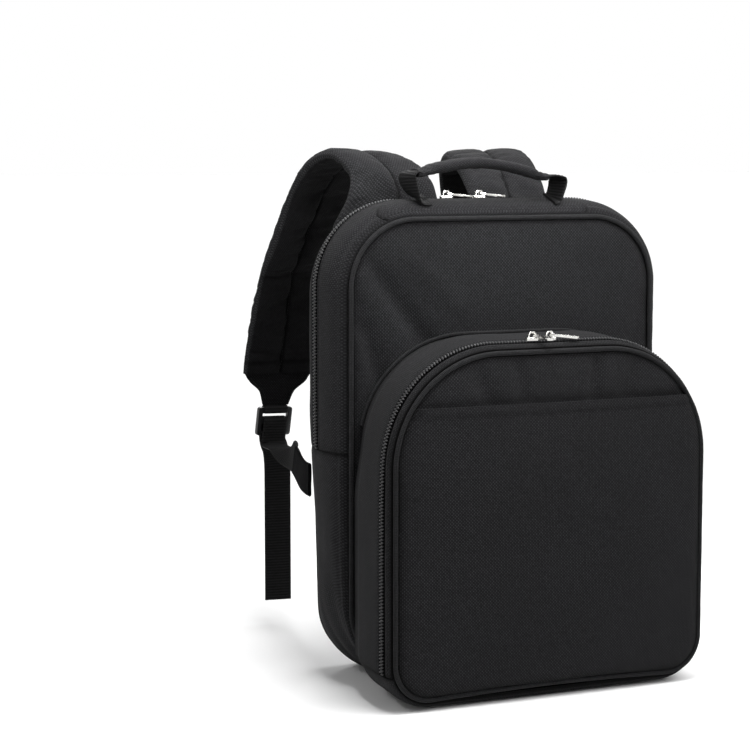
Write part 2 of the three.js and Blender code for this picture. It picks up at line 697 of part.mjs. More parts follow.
// A zip slider is a waisted plate with a wire bridge, joined into one solid
function sliderGeometry() {
  const plan = plateShape(SLIDER_OUTLINE, SLIDER_LENGTH, SLIDER_WIDTH / 2);
  const plate = new THREE.ExtrudeGeometry(plan, { depth: SLIDER_PLATE, bevelEnabled: false });
  plate.translate(-SLIDER_LENGTH / 2, 0, 0);
  const outer = archPoints(BRIDGE_LENGTH / 2, BRIDGE_HEIGHT);
  const inner = archPoints(BRIDGE_LENGTH / 2 - BRIDGE_WIRE, BRIDGE_HEIGHT - BRIDGE_WIRE);
  const bridge = new THREE.ExtrudeGeometry(new THREE.Shape([...outer, ...inner.reverse()]),
    { depth: BRIDGE_WIDTH, bevelEnabled: false });
  bridge.translate(0, 0, -BRIDGE_WIDTH / 2);
  bridge.rotateX(Math.PI / 2);
  bridge.translate(0, 0, SLIDER_PLATE - BRIDGE_WIRE / 2);
  return fromManifold(toManifold(plate).add(toManifold(bridge)));
}

// A pull: a waisted plate that lies beside the slider, with an eye round the bridge's leg
function pullGeometry() {
  const plan = plateShape(PULL_OUTLINE, PULL_LENGTH, PULL_WIDTH / 2);
  const eye = BRIDGE_WIDTH / 2 + GAP;
  const [start, end] = [PULL_EYE - eye, PULL_EYE + eye];
  plan.holes.push(new THREE.Path([
    new THREE.Vector2(start, -eye), new THREE.Vector2(start, eye),
    new THREE.Vector2(end, eye), new THREE.Vector2(end, -eye),
  ]));
  const plate = new THREE.ExtrudeGeometry(plan, { depth: PULL_THICKNESS, bevelEnabled: false });
  plate.translate(-PULL_EYE, 0, 0);
  return plate;
}

// A slider with its pull. The pull's eye is round the bridge's leg, and the pull swings about it.
function addSlider(zipper, side, { x, y, z, heading, dip }) {
  const holder = new THREE.Group();
  holder.position.set(x, y, z + GAP);
  backpack.add(holder);
  add(`${zipper}_zip_slider_${side}`, sliderGeometry(), NICKEL, holder);
  const swing = new THREE.Group();
  swing.position.set((BRIDGE_LENGTH - BRIDGE_WIRE) / 2, 0, SLIDER_PLATE + PULL_LIFT);
  swing.rotation.z = degToRad(heading);
  holder.add(swing);
  add(`${zipper}_zip_pull_${side}`, pullGeometry(), NICKEL, swing).rotation.y = degToRad(dip);
}

function buildSliders() {
  for (const [side, x] of [['left', MAIN_SLIDER_LEFT_X], ['right', MAIN_SLIDER_RIGHT_X]]) {
    const z = heightOver(mainOutline(MAIN_ZIP_Y), mainBulge(MAIN_ZIP_Y), x);
    addSlider('main', side, { x, y: MAIN_ZIP_Y, z, heading: 0, dip: PULL_DIP });
  }
  const pocketPulls = [
    { side: 'left', x: POCKET_SLIDER_LEFT_X, heading: -80, dip: 4 },
    { side: 'right', x: POCKET_SLIDER_RIGHT_X, heading: -20, dip: PULL_DIP },
  ];
  for (const { side, x, heading, dip } of pocketPulls) {
    const z = heightOver(pocketOutline(POCKET_ZIP_Y), pocketBulge(POCKET_ZIP_Y), x);
    addSlider('pocket', side, { x, y: POCKET_ZIP_Y, z, heading, dip });
  }
}

// Ribbons: a flat section carried along a path, its width along a given direction
function ribbon(stations, ends = 'across') {
  return loft(stations.map(({ at, across, normal, half, thickness }) => {
    const corner = (u, v) =>
      at.clone().addScaledVector(across, u * half).addScaledVector(normal, v * thickness / 2);
    return [corner(-1, 1), corner(1, 1), corner(1, -1), corner(-1, -1)];
  }), ends);
}

// Stations with the width direction squared to the path and the normal beside it
function stationsAlong(points, acrossAt, half, thickness) {
  return points.map((at, i) => {
    const ahead = points[Math.min(i + 1, points.length - 1)];
    const behind = points[Math.max(i - 1, 0)];
    const tangent = ahead.clone().sub(behind).normalize();
    const share = i / (points.length - 1);
    const across = acrossAt(share).clone();
    across.addScaledVector(tangent, -across.dot(tangent)).normalize();
    const normal = tangent.clone().cross(across).normalize();
    return {
      at, across, normal, tangent,
      half: typeof half === 'function' ? half(share) : half,
      thickness: typeof thickness === 'function' ? thickness(share) : thickness,
    };
  });
}

// The handle webbing's loop from its foot to the grip: how far out towards its knee it stands, how
// far it has come home to the grip and how high it is, as shares. Lean is its share of the bag's
// slope under its foot, twist its share of the turn about the upright, and grip how far it has
// narrowed to the grip's width.
const HANDLE_LOOP = [
  { out: -0.4, home: 0, up: 0, lean: 1, twist: 0, grip: 0 },
  { out: 0.1, home: 0, up: 0.01, lean: 1, twist: 0, grip: 0 },
  { out: 0.55, home: 0, up: 0.1, lean: 0.8, twist: 0.3, grip: 0 },
  { out: 0.85, home: 0, up: 0.34, lean: 0.3, twist: 0.7, grip: 0 },
  { out: 1, home: 0, up: 0.66, lean: 0, twist: 1, grip: 0 },
  { out: 1, home: 0.08, up: 0.92, lean: 0, twist: 0.95, grip: 0 },
  { out: 0.9, home: 0.45, up: 1.05, lean: 0, twist: 0.45, grip: 0.4 },
  { out: 0.9, home: 1, up: 1, lean: 0, twist: 0, grip: 1 },
];

function buildHandle() {
  const y = FRONT_Y + HANDLE_SETBACK;
  const [front, rear] = [y - HANDLE_STRIP_WIDTH / 2, y + HANDLE_STRIP_WIDTH / 2];
  const stripRows = depthsBetween(MAIN_SECTION, FRONT_Y, MAIN_DEPTH, front, rear).map((at) => (
    { y: at, outer: mainBulge(at) + GAP + HANDLE_STRIP_THICKNESS, inner: mainBulge(at) + GAP }));
  const stripPath = (at) => {
    const fromLeft = clipPath(arch(mainOutline(at), SIDE_SEAM_HEIGHT), (point) => point.x, HANDLE_STRIP_LEFT);
    return clipPath(fromLeft, (point) => -point.x, -HANDLE_STRIP_RIGHT);
  };
  add('handle_base_strip', loft(band(stripRows, stripPath)), FABRIC);

  const foot = MAIN_TOP + mainBulge(y) + GAP + HANDLE_STRIP_THICKNESS + GAP + WEBBING / 2;
  const slope = Math.atan2(mainBulge(rear) - mainBulge(front), HANDLE_STRIP_WIDTH);
  const ends = {};
  for (const [side, sign, size] of [['left', -1, HANDLE_LEFT], ['right', 1, HANDLE_RIGHT]]) {
    const knee = size.foot + sign * size.bulge;
    const turn = (row) => lerp(lerp(size.foot, knee, row.out), size.grip, row.home);
    const rows = HANDLE_LOOP.map((row) => ({ x: turn(row), z: foot + row.up * size.rise }));
    const points = spread(0, 1, LOOP_STEPS).map((share) =>
      vec(column(rows, 'x', share), y, column(rows, 'z', share)));
    const across = (share) => {
      const twist = degToRad(HANDLE_TWIST) * column(HANDLE_LOOP, 'twist', share);
      return vec(-Math.sin(twist), Math.cos(twist), Math.sin(slope * column(HANDLE_LOOP, 'lean', share)));
    };
    const half = (share) => lerp(HANDLE_WEBBING_WIDTH, GRIP_WIDTH, column(HANDLE_LOOP, 'grip', share)) / 2;
    add(`handle_webbing_${side}`, ribbon(stationsAlong(points, across, half, WEBBING)), WEBBING_LOOK);
    ends[side] = points.at(-1);
  }

  const grip = spread(0, 1, GRIP_STEPS).map((share) => {
    const x = lerp(ends.left.x + GAP, ends.right.x - GAP, share);
    const z = lerp(ends.left.z, ends.right.z, share) + Math.sin(share * Math.PI) * HANDLE_ARCH;
    const full = Math.min(Math.sin(share * Math.PI) * GRIP_TAPER, 1);
    const half = lerp(GRIP_END_THICKNESS, GRIP_THICKNESS, full) / 2;
    return Array.from({ length: GRIP_SIDES }, (_, j) => {
      const angle = ((j + 0.5) / GRIP_SIDES) * 2 * Math.PI;
      return vec(x, y + Math.cos(angle) * GRIP_WIDTH / 2, z + Math.sin(angle) * half);
    });
  });
  add('handle_grip', loft(grip), PADDED_FABRIC);
}

// Strap paths from the root on the back seam to the end of the padding. Each row holds shares of
// the strap's spread sideways, its reach behind the back and its height, then its turn about the
// upright and its roll in degrees, and how full the padding is there.
const LEFT_PATH = [
  { out: 0, back: 0, up: 0.753, turn: 0, roll: 0, fill: 0.4 },
  { out: 0.035, back: 0.035, up: 0.86, turn: 4, roll: 0, fill: 0.9 },
  { out: 0.129, back: 0.129, up: 0.95, turn: 8, roll: 2, fill: 1 },
  { out: 0.269, back: 0.269, up: 1, turn: 12, roll: 4, fill: 1 },
  { out: 0.409, back: 0.409, up: 0.987, turn: 16, roll: 3, fill: 1 },
  { out: 0.532, back: 0.532, up: 0.93, turn: 20, roll: 1, fill: 1 },
  { out: 0.632, back: 0.632, up: 0.84, turn: 22, roll: 0, fill: 1 },
  { out: 0.715, back: 0.708, up: 0.735, turn: 24, roll: 0, fill: 1 },
  { out: 0.79, back: 0.772, up: 0.63, turn: 25, roll: 0, fill: 1 },
  { out: 0.86, back: 0.83, up: 0.535, turn: 24, roll: 0, fill: 0.9 },
  { out: 0.9, back: 0.865, up: 0.47, turn: 24, roll: 0, fill: 0.55 },
  { out: 0.93, back: 0.91, up: 0.34, turn: 19, roll: 0, fill: 1 },
  { out: 0.955, back: 0.94, up: 0.213, turn: 15, roll: 0, fill: 1 },
  { out: 0.98, back: 0.965, up: 0.107, turn: 12, roll: 0, fill: 1 },
  { out: 1, back: 0.98, up: 0, turn: 10, roll: 0, fill: 0.8 },
];
const RIGHT_PATH = [
  { out: 0, back: 0, up: 0.819, turn: 0, roll: 0, fill: 0.4 },
  { out: 0.011, back: 0.12, up: 0.895, turn: 0, roll: 1, fill: 0.9 },
  { out: 0.044, back: 0.34, up: 0.967, turn: 1, roll: 2, fill: 1 },
  { out: 0.11, back: 0.63, up: 1, turn: 3, roll: 2, fill: 1 },
  { out: 0.187, back: 0.83, up: 0.967, turn: 5, roll: 1, fill: 1 },
  { out: 0.275, back: 0.94, up: 0.884, turn: 6, roll: 0, fill: 1 },
  { out: 0.363, back: 0.99, up: 0.801, turn: 6, roll: 0, fill: 1 },
  { out: 0.473, back: 1, up: 0.674, turn: 5, roll: 0, fill: 0.9 },
  { out: 0.593, back: 0.98, up: 0.547, turn: 4, roll: 0, fill: 1 },
  { out: 0.703, back: 0.94, up: 0.417, turn: 3, roll: 0, fill: 1 },
  { out: 0.813, back: 0.865, up: 0.272, turn: 2, roll: 0, fill: 1 },
  { out: 0.912, back: 0.763, up: 0.134, turn: 1, roll: 0, fill: 1 },
  { out: 1, back: 0.627, up: 0, turn: 0, roll: 0, fill: 0.8 },
];

// Half of the padding's section, from edge to edge, with the seam channel in the middle
const PAD_SECTION = [
  { across: -1, thick: 0.35 },
  { across: -0.86, thick: 0.9 },
  { across: -0.1, thick: 1 },
  { across: 0, thick: 0.6 },
  { across: 0.1, thick: 1 },
  { across: 0.86, thick: 0.9 },
  { across: 1, thick: 0.35 },
];

// Width of the end tab from the padding to the buckle, as shares of the strap's width
const TAB_WIDTHS = [
  { along: 0, width: 0.98 },
  { along: 0.3, width: 0.8 },
  { along: 0.6, width: 0.5 },
  { along: 1, width: 0.37 },
];

function buckleGeometry() {
  const opening = WEBBING_WIDTH / 2 + BUCKLE_SIDE_PLAY;
  const frame = new THREE.Shape();
  const [left, bottom, r] = [-opening - BUCKLE_SIDE, -BUCKLE_HEIGHT / 2, BUCKLE_CORNER];
  frame.moveTo(left + r, bottom);
  frame.lineTo(-left - r, bottom);
  frame.quadraticCurveTo(-left, bottom, -left, bottom + r);
  frame.lineTo(-left, -bottom - r);
  frame.quadraticCurveTo(-left, -bottom, -left - r, -bottom);
  frame.lineTo(left + r, -bottom);
  frame.quadraticCurveTo(left, -bottom, left, -bottom - r);
  frame.lineTo(left, bottom + r);
  frame.quadraticCurveTo(left, bottom, left + r, bottom);
  for (const low of [bottom + BUCKLE_BAR, bottom + 2 * BUCKLE_BAR + BUCKLE_SLOT]) {
    frame.holes.push(new THREE.Path([
      new THREE.Vector2(-opening, low), new THREE.Vector2(-opening, low + BUCKLE_SLOT),
      new THREE.Vector2(opening, low + BUCKLE_SLOT), new THREE.Vector2(opening, low),
    ]));
  }
  const geometry = new THREE.ExtrudeGeometry(frame, {
    depth: BUCKLE_THICKNESS, bevelEnabled: false, curveSegments: 3,
  });
  geometry.translate(0, 0, -BUCKLE_THICKNESS / 2);
  return geometry;
}

// Webbing wrapped round the buckle's top bar, as a closed band
function barLoop() {
  const [inner, outer] = [GAP, GAP + WEBBING];
  const wrap = (grow) => [
    new THREE.Vector2(-BUCKLE_THICKNESS / 2 - grow, -BUCKLE_BAR / 2 - grow),
    new THREE.Vector2(BUCKLE_THICKNESS / 2 + grow, -BUCKLE_BAR / 2 - grow),
    new THREE.Vector2(BUCKLE_THICKNESS / 2 + grow, BUCKLE_BAR / 2 + grow),
    new THREE.Vector2(-BUCKLE_THICKNESS / 2 - grow, BUCKLE_BAR / 2 + grow),
  ];
  const shape = new THREE.Shape(wrap(outer));
  shape.holes.push(new THREE.Path(wrap(inner).reverse()));
  const geometry = new THREE.ExtrudeGeometry(shape, { depth: WEBBING_WIDTH, bevelEnabled: false });
  geometry.translate(0, 0, -WEBBING_WIDTH / 2);
  geometry.rotateY(-Math.PI / 2);
  return geometry;
}

function buildStrap(side, sign, sizes, path) {
  const low = MAIN_TOP - sizes.drop;
  const height = sizes.drop + sizes.rise;
  const point = (share) => vec(
    sign * (sizes.root + column(path, 'out', share) * sizes.spread),
    BACK_Y + column(path, 'back', share) * sizes.reach,
    low + column(path, 'up', share) * height,
  );
  const points = spread(0, 1, STRAP_STEPS).map(point);
  const off = points[1].clone().sub(points[0]).normalize();
  points[0] = vec(points[0].x, BACK_Y, MAIN_TOP).addScaledVector(off, PIPING_RADIUS + ROOT_CLEARANCE);
  const acrossAt = (share) => {
    const turn = degToRad(column(path, 'turn', share));
    const roll = degToRad(column(path, 'roll', share));
    return vec(Math.cos(turn), -sign * Math.sin(turn), sign * Math.sin(roll));
  };
  const stations = stationsAlong(points, acrossAt, STRAP_WIDTH / 2,
    (share) => STRAP_THICKNESS * column(path, 'fill', share));
  add(`strap_pad_${side}`, loft(stations.map((station) => {
    const spot = (row, face) => station.at.clone()
      .addScaledVector(station.across, row.across * station.half)
      .addScaledVector(station.normal, face * row.thick * station.thickness / 2);
    const outer = PAD_SECTION.map((row) => spot(row, 1));
    const inner = PAD_SECTION.map((row) => spot(row, -1));
    return [...outer, ...inner.reverse()];
  })), PADDED_FABRIC);

  const end = stations.at(-1);
  const down = vec(sign * sizes.hang.out, sizes.hang.back, -1).normalize();
  const across = end.across.clone();
  across.addScaledVector(down, -across.dot(down)).normalize();
  const normal = down.clone().cross(across).normalize();
  const hanging = (distance) => end.at.clone()
    .addScaledVector(end.tangent, GAP + Math.min(distance, TAB_BEND))
    .addScaledVector(down, Math.max(distance - TAB_BEND, 0));
  const tabAcross = (share) => end.across.clone().lerp(across, smoothstep(share, 0, TAB_TURN)).normalize();
  const tab = stationsAlong(spread(0, TAB_LENGTH, TAB_STEPS).map(hanging), tabAcross,
    (share) => STRAP_WIDTH / 2 * between(TAB_WIDTHS, 'along', 'width', share), TAB_THICKNESS);
  add(`strap_end_tab_${side}`, ribbon(tab), PADDED_FABRIC);

  // The buckle hangs below the tab, with the webbing loop round its top bar between them
  const hung = new THREE.Group();
  hung.position.copy(hanging(TAB_LENGTH + GAP + WEBBING + GAP + BUCKLE_HEIGHT / 2));
  hung.setRotationFromMatrix(new THREE.Matrix4().makeBasis(across, down.clone().negate(), normal));
  backpack.add(hung);
  add(`strap_buckle_${side}`, buckleGeometry(), PLASTIC, hung);
  const loop = add(`strap_loop_${side}`, barLoop(), WEBBING_LOOK, hung);
  loop.position.set(0, (BUCKLE_HEIGHT - BUCKLE_BAR) / 2, 0);
  hung.updateMatrixWorld(true);

  // The wing: a folded cloth tab that stands out of the back side seam
  const seat = vec(sign * (MAIN_HALF_WIDTH + PIPING_RADIUS + GAP + WING_THICKNESS / 2), BACK_Y,
    (WING_LOW + WING_HIGH) / 2);
  const clear = seat.clone().add(vec(0, PIPING_RADIUS + WING_THICKNESS / 2, 0));
  const wingEnd = clear.clone().add(vec(sign * sizes.wing.out, sizes.wing.back, sizes.wing.up));
  const outward = across.clone().multiplyScalar(sign);
  const wingAcross = (share) => vec(0, 0, -1).lerp(outward, sizes.wing.twist * share).normalize();
  const wingAim = wingEnd.clone().sub(clear).normalize();
  const bend = seat.distanceTo(wingEnd) * WING_BEND;
  const wingCurve = new THREE.CubicBezierCurve3(seat, seat.clone().add(vec(0, bend, 0)),
    wingEnd.clone().addScaledVector(wingAim, -bend), wingEnd);
  const wingPoints = wingCurve.getPoints(WING_STEPS);
  add(`strap_wing_${side}`, ribbon(stationsAlong(wingPoints, wingAcross,
    (share) => lerp((WING_HIGH - WING_LOW) / 2, WEBBING_WIDTH / 2, share), WING_THICKNESS)), FABRIC);

  // The adjusting webbing: from the wing up behind the lower bars, over the middle bar and down in
  // front of them as the free tail
  const local = (u, v) => hung.localToWorld(vec(0, u, v));
  const lift = BUCKLE_THICKNESS / 2 + BUCKLE_PLAY + WEBBING / 2;
  const over = BUCKLE_BAR / 2 + BUCKLE_PLAY + WEBBING / 2;
  const outside = Math.sign(normal.y);
  const foot = local(-BUCKLE_HEIGHT / 2 - FOOT_DROP, -outside * (lift + FOOT_SPREAD));
  const exit = local(-BUCKLE_HEIGHT / 2 - EXIT_DROP, outside * lift);
  const tailTop = exit.clone().add(vec(-sign * sizes.tail.inward, TAIL_BACK, -TAIL_DROP));
  const tail = tailTop.clone().add(vec(0, 0, -sizes.tail.length));
  const start = wingEnd.clone().addScaledVector(wingAim, WING_THICKNESS + GAP);
  const tailTurn = degToRad(sizes.tail.turn);
  const tailAcross = vec(sign * Math.cos(tailTurn), -Math.sin(tailTurn), 0);
  const joint = { at: wingEnd.clone().addScaledVector(wingAim, GAP), across: wingAcross(1) };
  const leadCurve = new THREE.CubicBezierCurve3(start,
    start.clone().addScaledVector(wingAim, start.distanceTo(foot) * LEAD_EASE),
    foot.clone().lerp(start, LEAD_EASE).add(vec(0, 0, -sizes.sag)), foot);
  const lead = spread(0, LEAD_SHARE, LEAD_STEPS).map((share) => ({
    at: leadCurve.getPoint(share),
    across: wingAcross(1).lerp(outward, smoothstep(share, 0, LEAD_TURN)).normalize(),
  }));
  const through = [
    foot,
    local(-BUCKLE_HEIGHT / 2 - ENTRY_DROP, -outside * lift),
    local(-BUCKLE_HEIGHT / 4, -outside * lift),
    local(0, -outside * lift),
    local(BUCKLE_BAR / 2, -outside * lift),
    local(over, -outside * BUCKLE_THICKNESS / 2),
    local(over, outside * BUCKLE_THICKNESS / 2),
    local(BUCKLE_BAR / 2, outside * lift),
    local(0, outside * lift),
    exit,
  ].map((at) => ({ at, across: outward }));
  const free = spread(0, 1, TAIL_STEPS).map((share) => (
    { at: tailTop.clone().lerp(tail, share), across: tailAcross }));
  const route = [joint, ...lead, ...through, ...free];
  const routeAcross = (share) => route[Math.round(share * (route.length - 1))].across;
  add(`strap_webbing_${side}`, ribbon(stationsAlong(route.map((station) => station.at), routeAcross,
    WEBBING_WIDTH / 2, WEBBING)), WEBBING_LOOK);
}

buildMainBody();
buildPocket();
buildSliders();
buildHandle();
buildStrap('left', -1, LEFT_STRAP, LEFT_PATH);
buildStrap('right', 1, RIGHT_STRAP, RIGHT_PATH);

export default backpack;
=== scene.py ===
# The looks of a picnic backpack: cloth, piping, zippers, webbing and padded straps.
# Lengths in this file are millimetres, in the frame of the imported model. Meshes are made in metres.
import math

import bpy
import numpy as np
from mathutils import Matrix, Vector, noise


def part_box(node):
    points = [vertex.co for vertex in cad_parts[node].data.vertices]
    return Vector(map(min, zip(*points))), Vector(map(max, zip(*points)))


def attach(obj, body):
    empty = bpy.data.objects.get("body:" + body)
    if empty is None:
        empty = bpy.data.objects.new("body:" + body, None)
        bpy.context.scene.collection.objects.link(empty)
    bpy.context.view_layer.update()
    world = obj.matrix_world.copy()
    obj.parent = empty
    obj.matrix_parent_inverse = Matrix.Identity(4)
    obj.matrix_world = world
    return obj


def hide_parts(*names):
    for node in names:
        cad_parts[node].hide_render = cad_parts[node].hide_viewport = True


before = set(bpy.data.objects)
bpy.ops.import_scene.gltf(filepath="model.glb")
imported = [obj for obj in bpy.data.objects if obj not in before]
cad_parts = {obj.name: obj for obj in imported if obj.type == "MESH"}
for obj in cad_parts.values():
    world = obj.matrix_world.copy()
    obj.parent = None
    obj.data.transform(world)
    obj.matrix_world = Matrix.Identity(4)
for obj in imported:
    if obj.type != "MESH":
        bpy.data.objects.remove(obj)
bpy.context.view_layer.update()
MM = 0.001
UP = np.array([0, 0, 1.0])
FORWARD = np.array([0, -1.0, 0])


def low(node):
    return np.array(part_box(node)[0]) / MM


def high(node):
    return np.array(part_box(node)[1]) / MM


def middle_y(node):
    return (low(node)[1] + high(node)[1]) / 2


def table(columns, *rows):
    """Rows of values with named columns."""
    return [dict(zip(columns.split(), row)) for row in rows]


# Cloth, piping and seams
CLOTH = 2.0
PIPING = 2.5
CORD = 2.0
TUCK_UNDER = 0.4
RIM = PIPING - TUCK_UNDER
GAP = 0.3
# The solid piping is six-sided with a flat side out, so it reaches less far out than its radius
PIPING_REACH = PIPING * math.cos(math.pi / 6)

# Main body, read from its pipings
MAIN_HALF = high("main_front_piping")[0] - PIPING_REACH
MAIN_TOP = high("main_front_piping")[2] - PIPING_REACH
MAIN_BOTTOM = low("main_front_piping")[2] + PIPING_REACH
MAIN_BACK_BOTTOM = low("main_back_piping")[2] + PIPING_REACH
FRONT_Y = low("main_front_piping")[1] + PIPING
BACK_Y = high("main_back_piping")[1] - PIPING
MAIN_DEPTH = BACK_Y - FRONT_Y
MAIN_TOP_RADIUS, MAIN_BOTTOM_RADIUS = 57, 60
MAIN_BULGE = 14.4
PANEL_CROWN, CROWN_POWER = 6, 2.6
BACK_SHELL = 3.5
SIDE_SEAM = (low("main_gusset_upper_front")[2] + high("main_gusset_lower")[2]) / 2
MAIN_ZIP_Y = middle_y("main_zipper")
MAIN_TUCK, TUCK_POWER = 6, 0.7

# Front pocket, read from its piping
POCKET_HALF = high("pocket_front_piping")[0] - PIPING_REACH
POCKET_TOP = high("pocket_front_piping")[2] - PIPING_REACH
POCKET_BOTTOM = 7.6
POCKET_FRONT_Y = low("pocket_front_piping")[1] + PIPING
POCKET_DEPTH = FRONT_Y - POCKET_FRONT_Y
POCKET_TOP_RADIUS, POCKET_BOTTOM_RADIUS = 89, 32
POCKET_BULGE = 6.5
POCKET_BOW = 4
POCKET_REAR_INSET, POCKET_REAR_RISE = 7.3, 6.6
POCKET_FLARE, POCKET_FLARE_LOW, POCKET_FLARE_HIGH = 6, 160, 212
POCKET_ZIP_Y = middle_y("pocket_zipper")
POCKET_ZIP_END = low("pocket_zipper")[2]
SLIP_TOP = high("pocket_slip_panel")[2]
SLIP_GAP, SLIP_LAYER, SLIP_SETBACK = 1.2, 1.6, 1.12
HEM, HEM_LIFT, HEM_GROOVE = 8, 1.1, 1.5
LIP_CREASE, LIP_CREASE_WIDTH, LIP_GAP = 3.0, 2, 0.6
WELT_RADIUS = 1.5
WELT_END = low("pocket_rear_welt")[2]

# Zippers: the coil's turns are bars across the tape, wide in the middle
ZIP_SLOT = 9
ZIP_TAPE, ZIP_TAPE_WIDTH, ZIP_TAPE_ROWS = 1, 16, 12
TOOTH_PITCH, TOOTH_LENGTH, TOOTH_WIDTH, TOOTH_HEIGHT = 2.7, 2.8, 1.5, 2.0
TOOTH_SHIFT, TOOTH_ARCH, COIL_SINK = 0.48, 0.12, 0.1
TOOTH = {"place": [-1, -0.75, 0, 0.75, 1], "wide": [0.45, 0.9, 1, 0.9, 0.45]}

# Stitches: short rounded bars along a line
STITCH_PITCH, STITCH_LENGTH, STITCH_RADIUS, STITCH_SPREAD = 3.4, 2.5, 0.24, 1.5
STITCH = {
    "along": [0, 0.18, 0.5, 0.82, 1],
    "wide": [0.35, 0.9, 1, 0.9, 0.35],
    "lift": [-0.5, 0.1, 0.35, 0.1, -0.5],
}
BAR_SIDES = 6

# How seams draw the cloth in, and the painted shade that darkens the cloth along them
VALLEY_DEPTH, VALLEY_WIDTH = 3.0, 3.2
# How dark the painted seam shade makes the cloth at its darkest
SEAM_SHADE = 0.12
# How far the painted seam shade reaches on bands and panels, and how wide the painted shadow line above the
# slip pocket's lip is. SEAM_REACH also sets how far a band's ends drop
SEAM_REACH, PANEL_SEAM_REACH, CREASE_WIDTH = 1.8, 2.6, 1.7
SEAM_ROLLS = table("at width height", (4.0, 1.8, 0.8), (7.5, 1.6, -0.64))
SEAM_DROP, SEAM_DROP_REACH = 1.8, 1.2
END_DROP = 0.9
FOLD_RADIUS = 1.6
EDGE_STITCH, STITCH_GROOVE, STITCH_GROOVE_WIDTH = 3.2, 0.35, 0.7

# Webbing
WEBBING, WEBBING_WIDTH = 1.7, 25
RIB_PITCH, RIB_DEPTH = 2.6, 0.22

# Mesh spacing along a seam's path, and round a tube
SIDE_STEPS, CORNER_STEPS, TOP_STEPS = 70, 44, 70
TUBE_SIDES = 14
ROUND_ROWS_LOW, ROUND_ROWS_HIGH = 22, 26
COLUMN_CROWDING = 0.8
SEARCH_CHUNK = 4000


# Curves and outlines

def hermite(t, start, rise, leave, arrive):
    """A cubic over one step, with its slope where it leaves and where it arrives."""
    return start + t * (leave + t * (3 * rise - 2 * leave - arrive + t * (leave + arrive - 2 * rise)))


def curve(xs, ys, at):
    """A smooth curve through a table that never overshoots it."""
    xs, ys = np.array(xs, float), np.array(ys, float)
    width = np.diff(xs)
    slope = np.diff(ys) / width
    before, after = slope[:-1], slope[1:]
    same = before * after > 0
    inner = np.where(same, 2 * before * after / np.where(same, before + after, 1), 0)
    ends = np.concatenate([slope[:1], inner, slope[-1:]])
    at = np.clip(at, xs[0], xs[-1])
    i = np.clip(np.searchsorted(xs, at) - 1, 0, len(xs) - 2)
    t = (at - xs[i]) / width[i]
    return hermite(t, ys[i], ys[i + 1] - ys[i], ends[i] * width[i], ends[i + 1] * width[i])


def column(rows, key, share):
    """Reads one column of evenly placed rows along a smooth curve."""
    values = np.array([row[key] for row in rows], float)
    last = len(rows) - 1
    at = np.clip(share, 0, 1) * last
    i = np.minimum(at.astype(int), last - 1)
    before, here, there, after = (values[np.clip(i + step, 0, last)] for step in (-1, 0, 1, 2))
    return hermite(at - i, here, there - here, (there - before) / 2, (after - here) / 2)


def smooth(value, start, end):
    t = np.clip((np.asarray(value, float) - start) / (end - start), 0, 1)
    return t * t * (3 - 2 * t)


def mix(a, b, t):
    return a + (b - a) * t


def unit(v):
    return v / np.linalg.norm(v, axis=-1, keepdims=True)


def hump(distance):
    return np.exp(-distance * distance)


def xyz(*parts):
    """Joins numbers of matching shapes into points, or into places on cloth with a painted seam shade."""
    return np.stack(np.broadcast_arrays(*parts), axis=-1)


def stand_out(path, y, offset):
    """Points at a depth y that stand off an outline's path along its normals."""
    return xyz(path[..., 0] + path[..., 2] * offset, y, path[..., 1] + path[..., 3] * offset)


def run_length(points, closed=False):
    """The distance along a row of points."""
    steps = np.linalg.norm(np.diff(points, axis=0), axis=1)
    run = np.concatenate([[0], np.cumsum(steps)])
    if closed:
        run = np.append(run, run[-1] + np.linalg.norm(points[0] - points[-1]))
    return run


def pick(at, run, values):
    """What lies at distances along a run, in as many columns as values has."""
    return np.stack([np.interp(at, run, one) for one in values.T], axis=-1)


def line(start, end, steps, normal):
    t = (np.arange(1, steps) / steps)[:, None]
    points = np.array(start) + (np.array(end) - np.array(start)) * t
    return np.hstack([points, np.tile(normal, (steps - 1, 1))])


def corner(cx, cz, radius, start, end):
    angle = np.linspace(start, end, CORNER_STEPS + 1)
    nx, nz = np.cos(angle), np.sin(angle)
    return xyz(cx + radius * nx, cz + radius * nz, nx, nz)


def arch(o, height):
    """From a height on the left side, over the top and down to that height: x, z and normal."""
    half, top, radius = o["half"], o["top"], o["top_radius"]
    inner, shoulder = half - radius, top - radius
    return np.vstack([
        [[-half, height, -1, 0]],
        line((-half, height), (-half, shoulder), SIDE_STEPS, (-1, 0)),
        corner(-inner, shoulder, radius, math.pi, math.pi / 2),
        line((-inner, top), (inner, top), TOP_STEPS, (0, 1)),
        corner(inner, shoulder, radius, math.pi / 2, 0),
        line((half, shoulder), (half, height), SIDE_STEPS, (1, 0)),
        [[half, height, 1, 0]],
    ])


def trough(o, height):
    """The rest of the outline, from that height on the right side round the bottom to the left."""
    half, bottom, radius = o["half"], o["bottom"], o["bottom_radius"]
    inner, turn = half - radius, bottom + radius
    begin = math.asin(min(max((turn - height) / radius, 0), 1))
    below = np.vstack([
        corner(inner, turn, radius, -begin, -math.pi / 2),
        line((inner, bottom), (-inner, bottom), TOP_STEPS, (0, -1)),
        corner(-inner, turn, radius, -math.pi / 2, begin - math.pi),
    ])
    if height <= turn:
        return below
    down = np.vstack([[[half, height, 1, 0]], line((half, height), (half, turn), SIDE_STEPS // 2, (1, 0))])
    return np.vstack([down, below, down[::-1] * (-1, 1, -1, 1)])


def whole(o):
    height = (o["top"] + o["bottom"]) / 2
    return np.vstack([arch(o, height), trough(o, height)[1:-1]])


# The main body's corners between its pipings, as shares of the depth and of the corner radii. Drop
# is how much of the way from the front's bottom edge to the lower one of the back is done.
MAIN_CORNERS = {
    "depth": [0, 0.25, 0.55, 0.8, 1],
    "top": [1, 1, 1, 1.12, 1.28],
    "bottom": [0.95, 1.2, 1.25, 1.05, 0.85],
    "drop": [0, 0, 0.3, 0.8, 1],
}
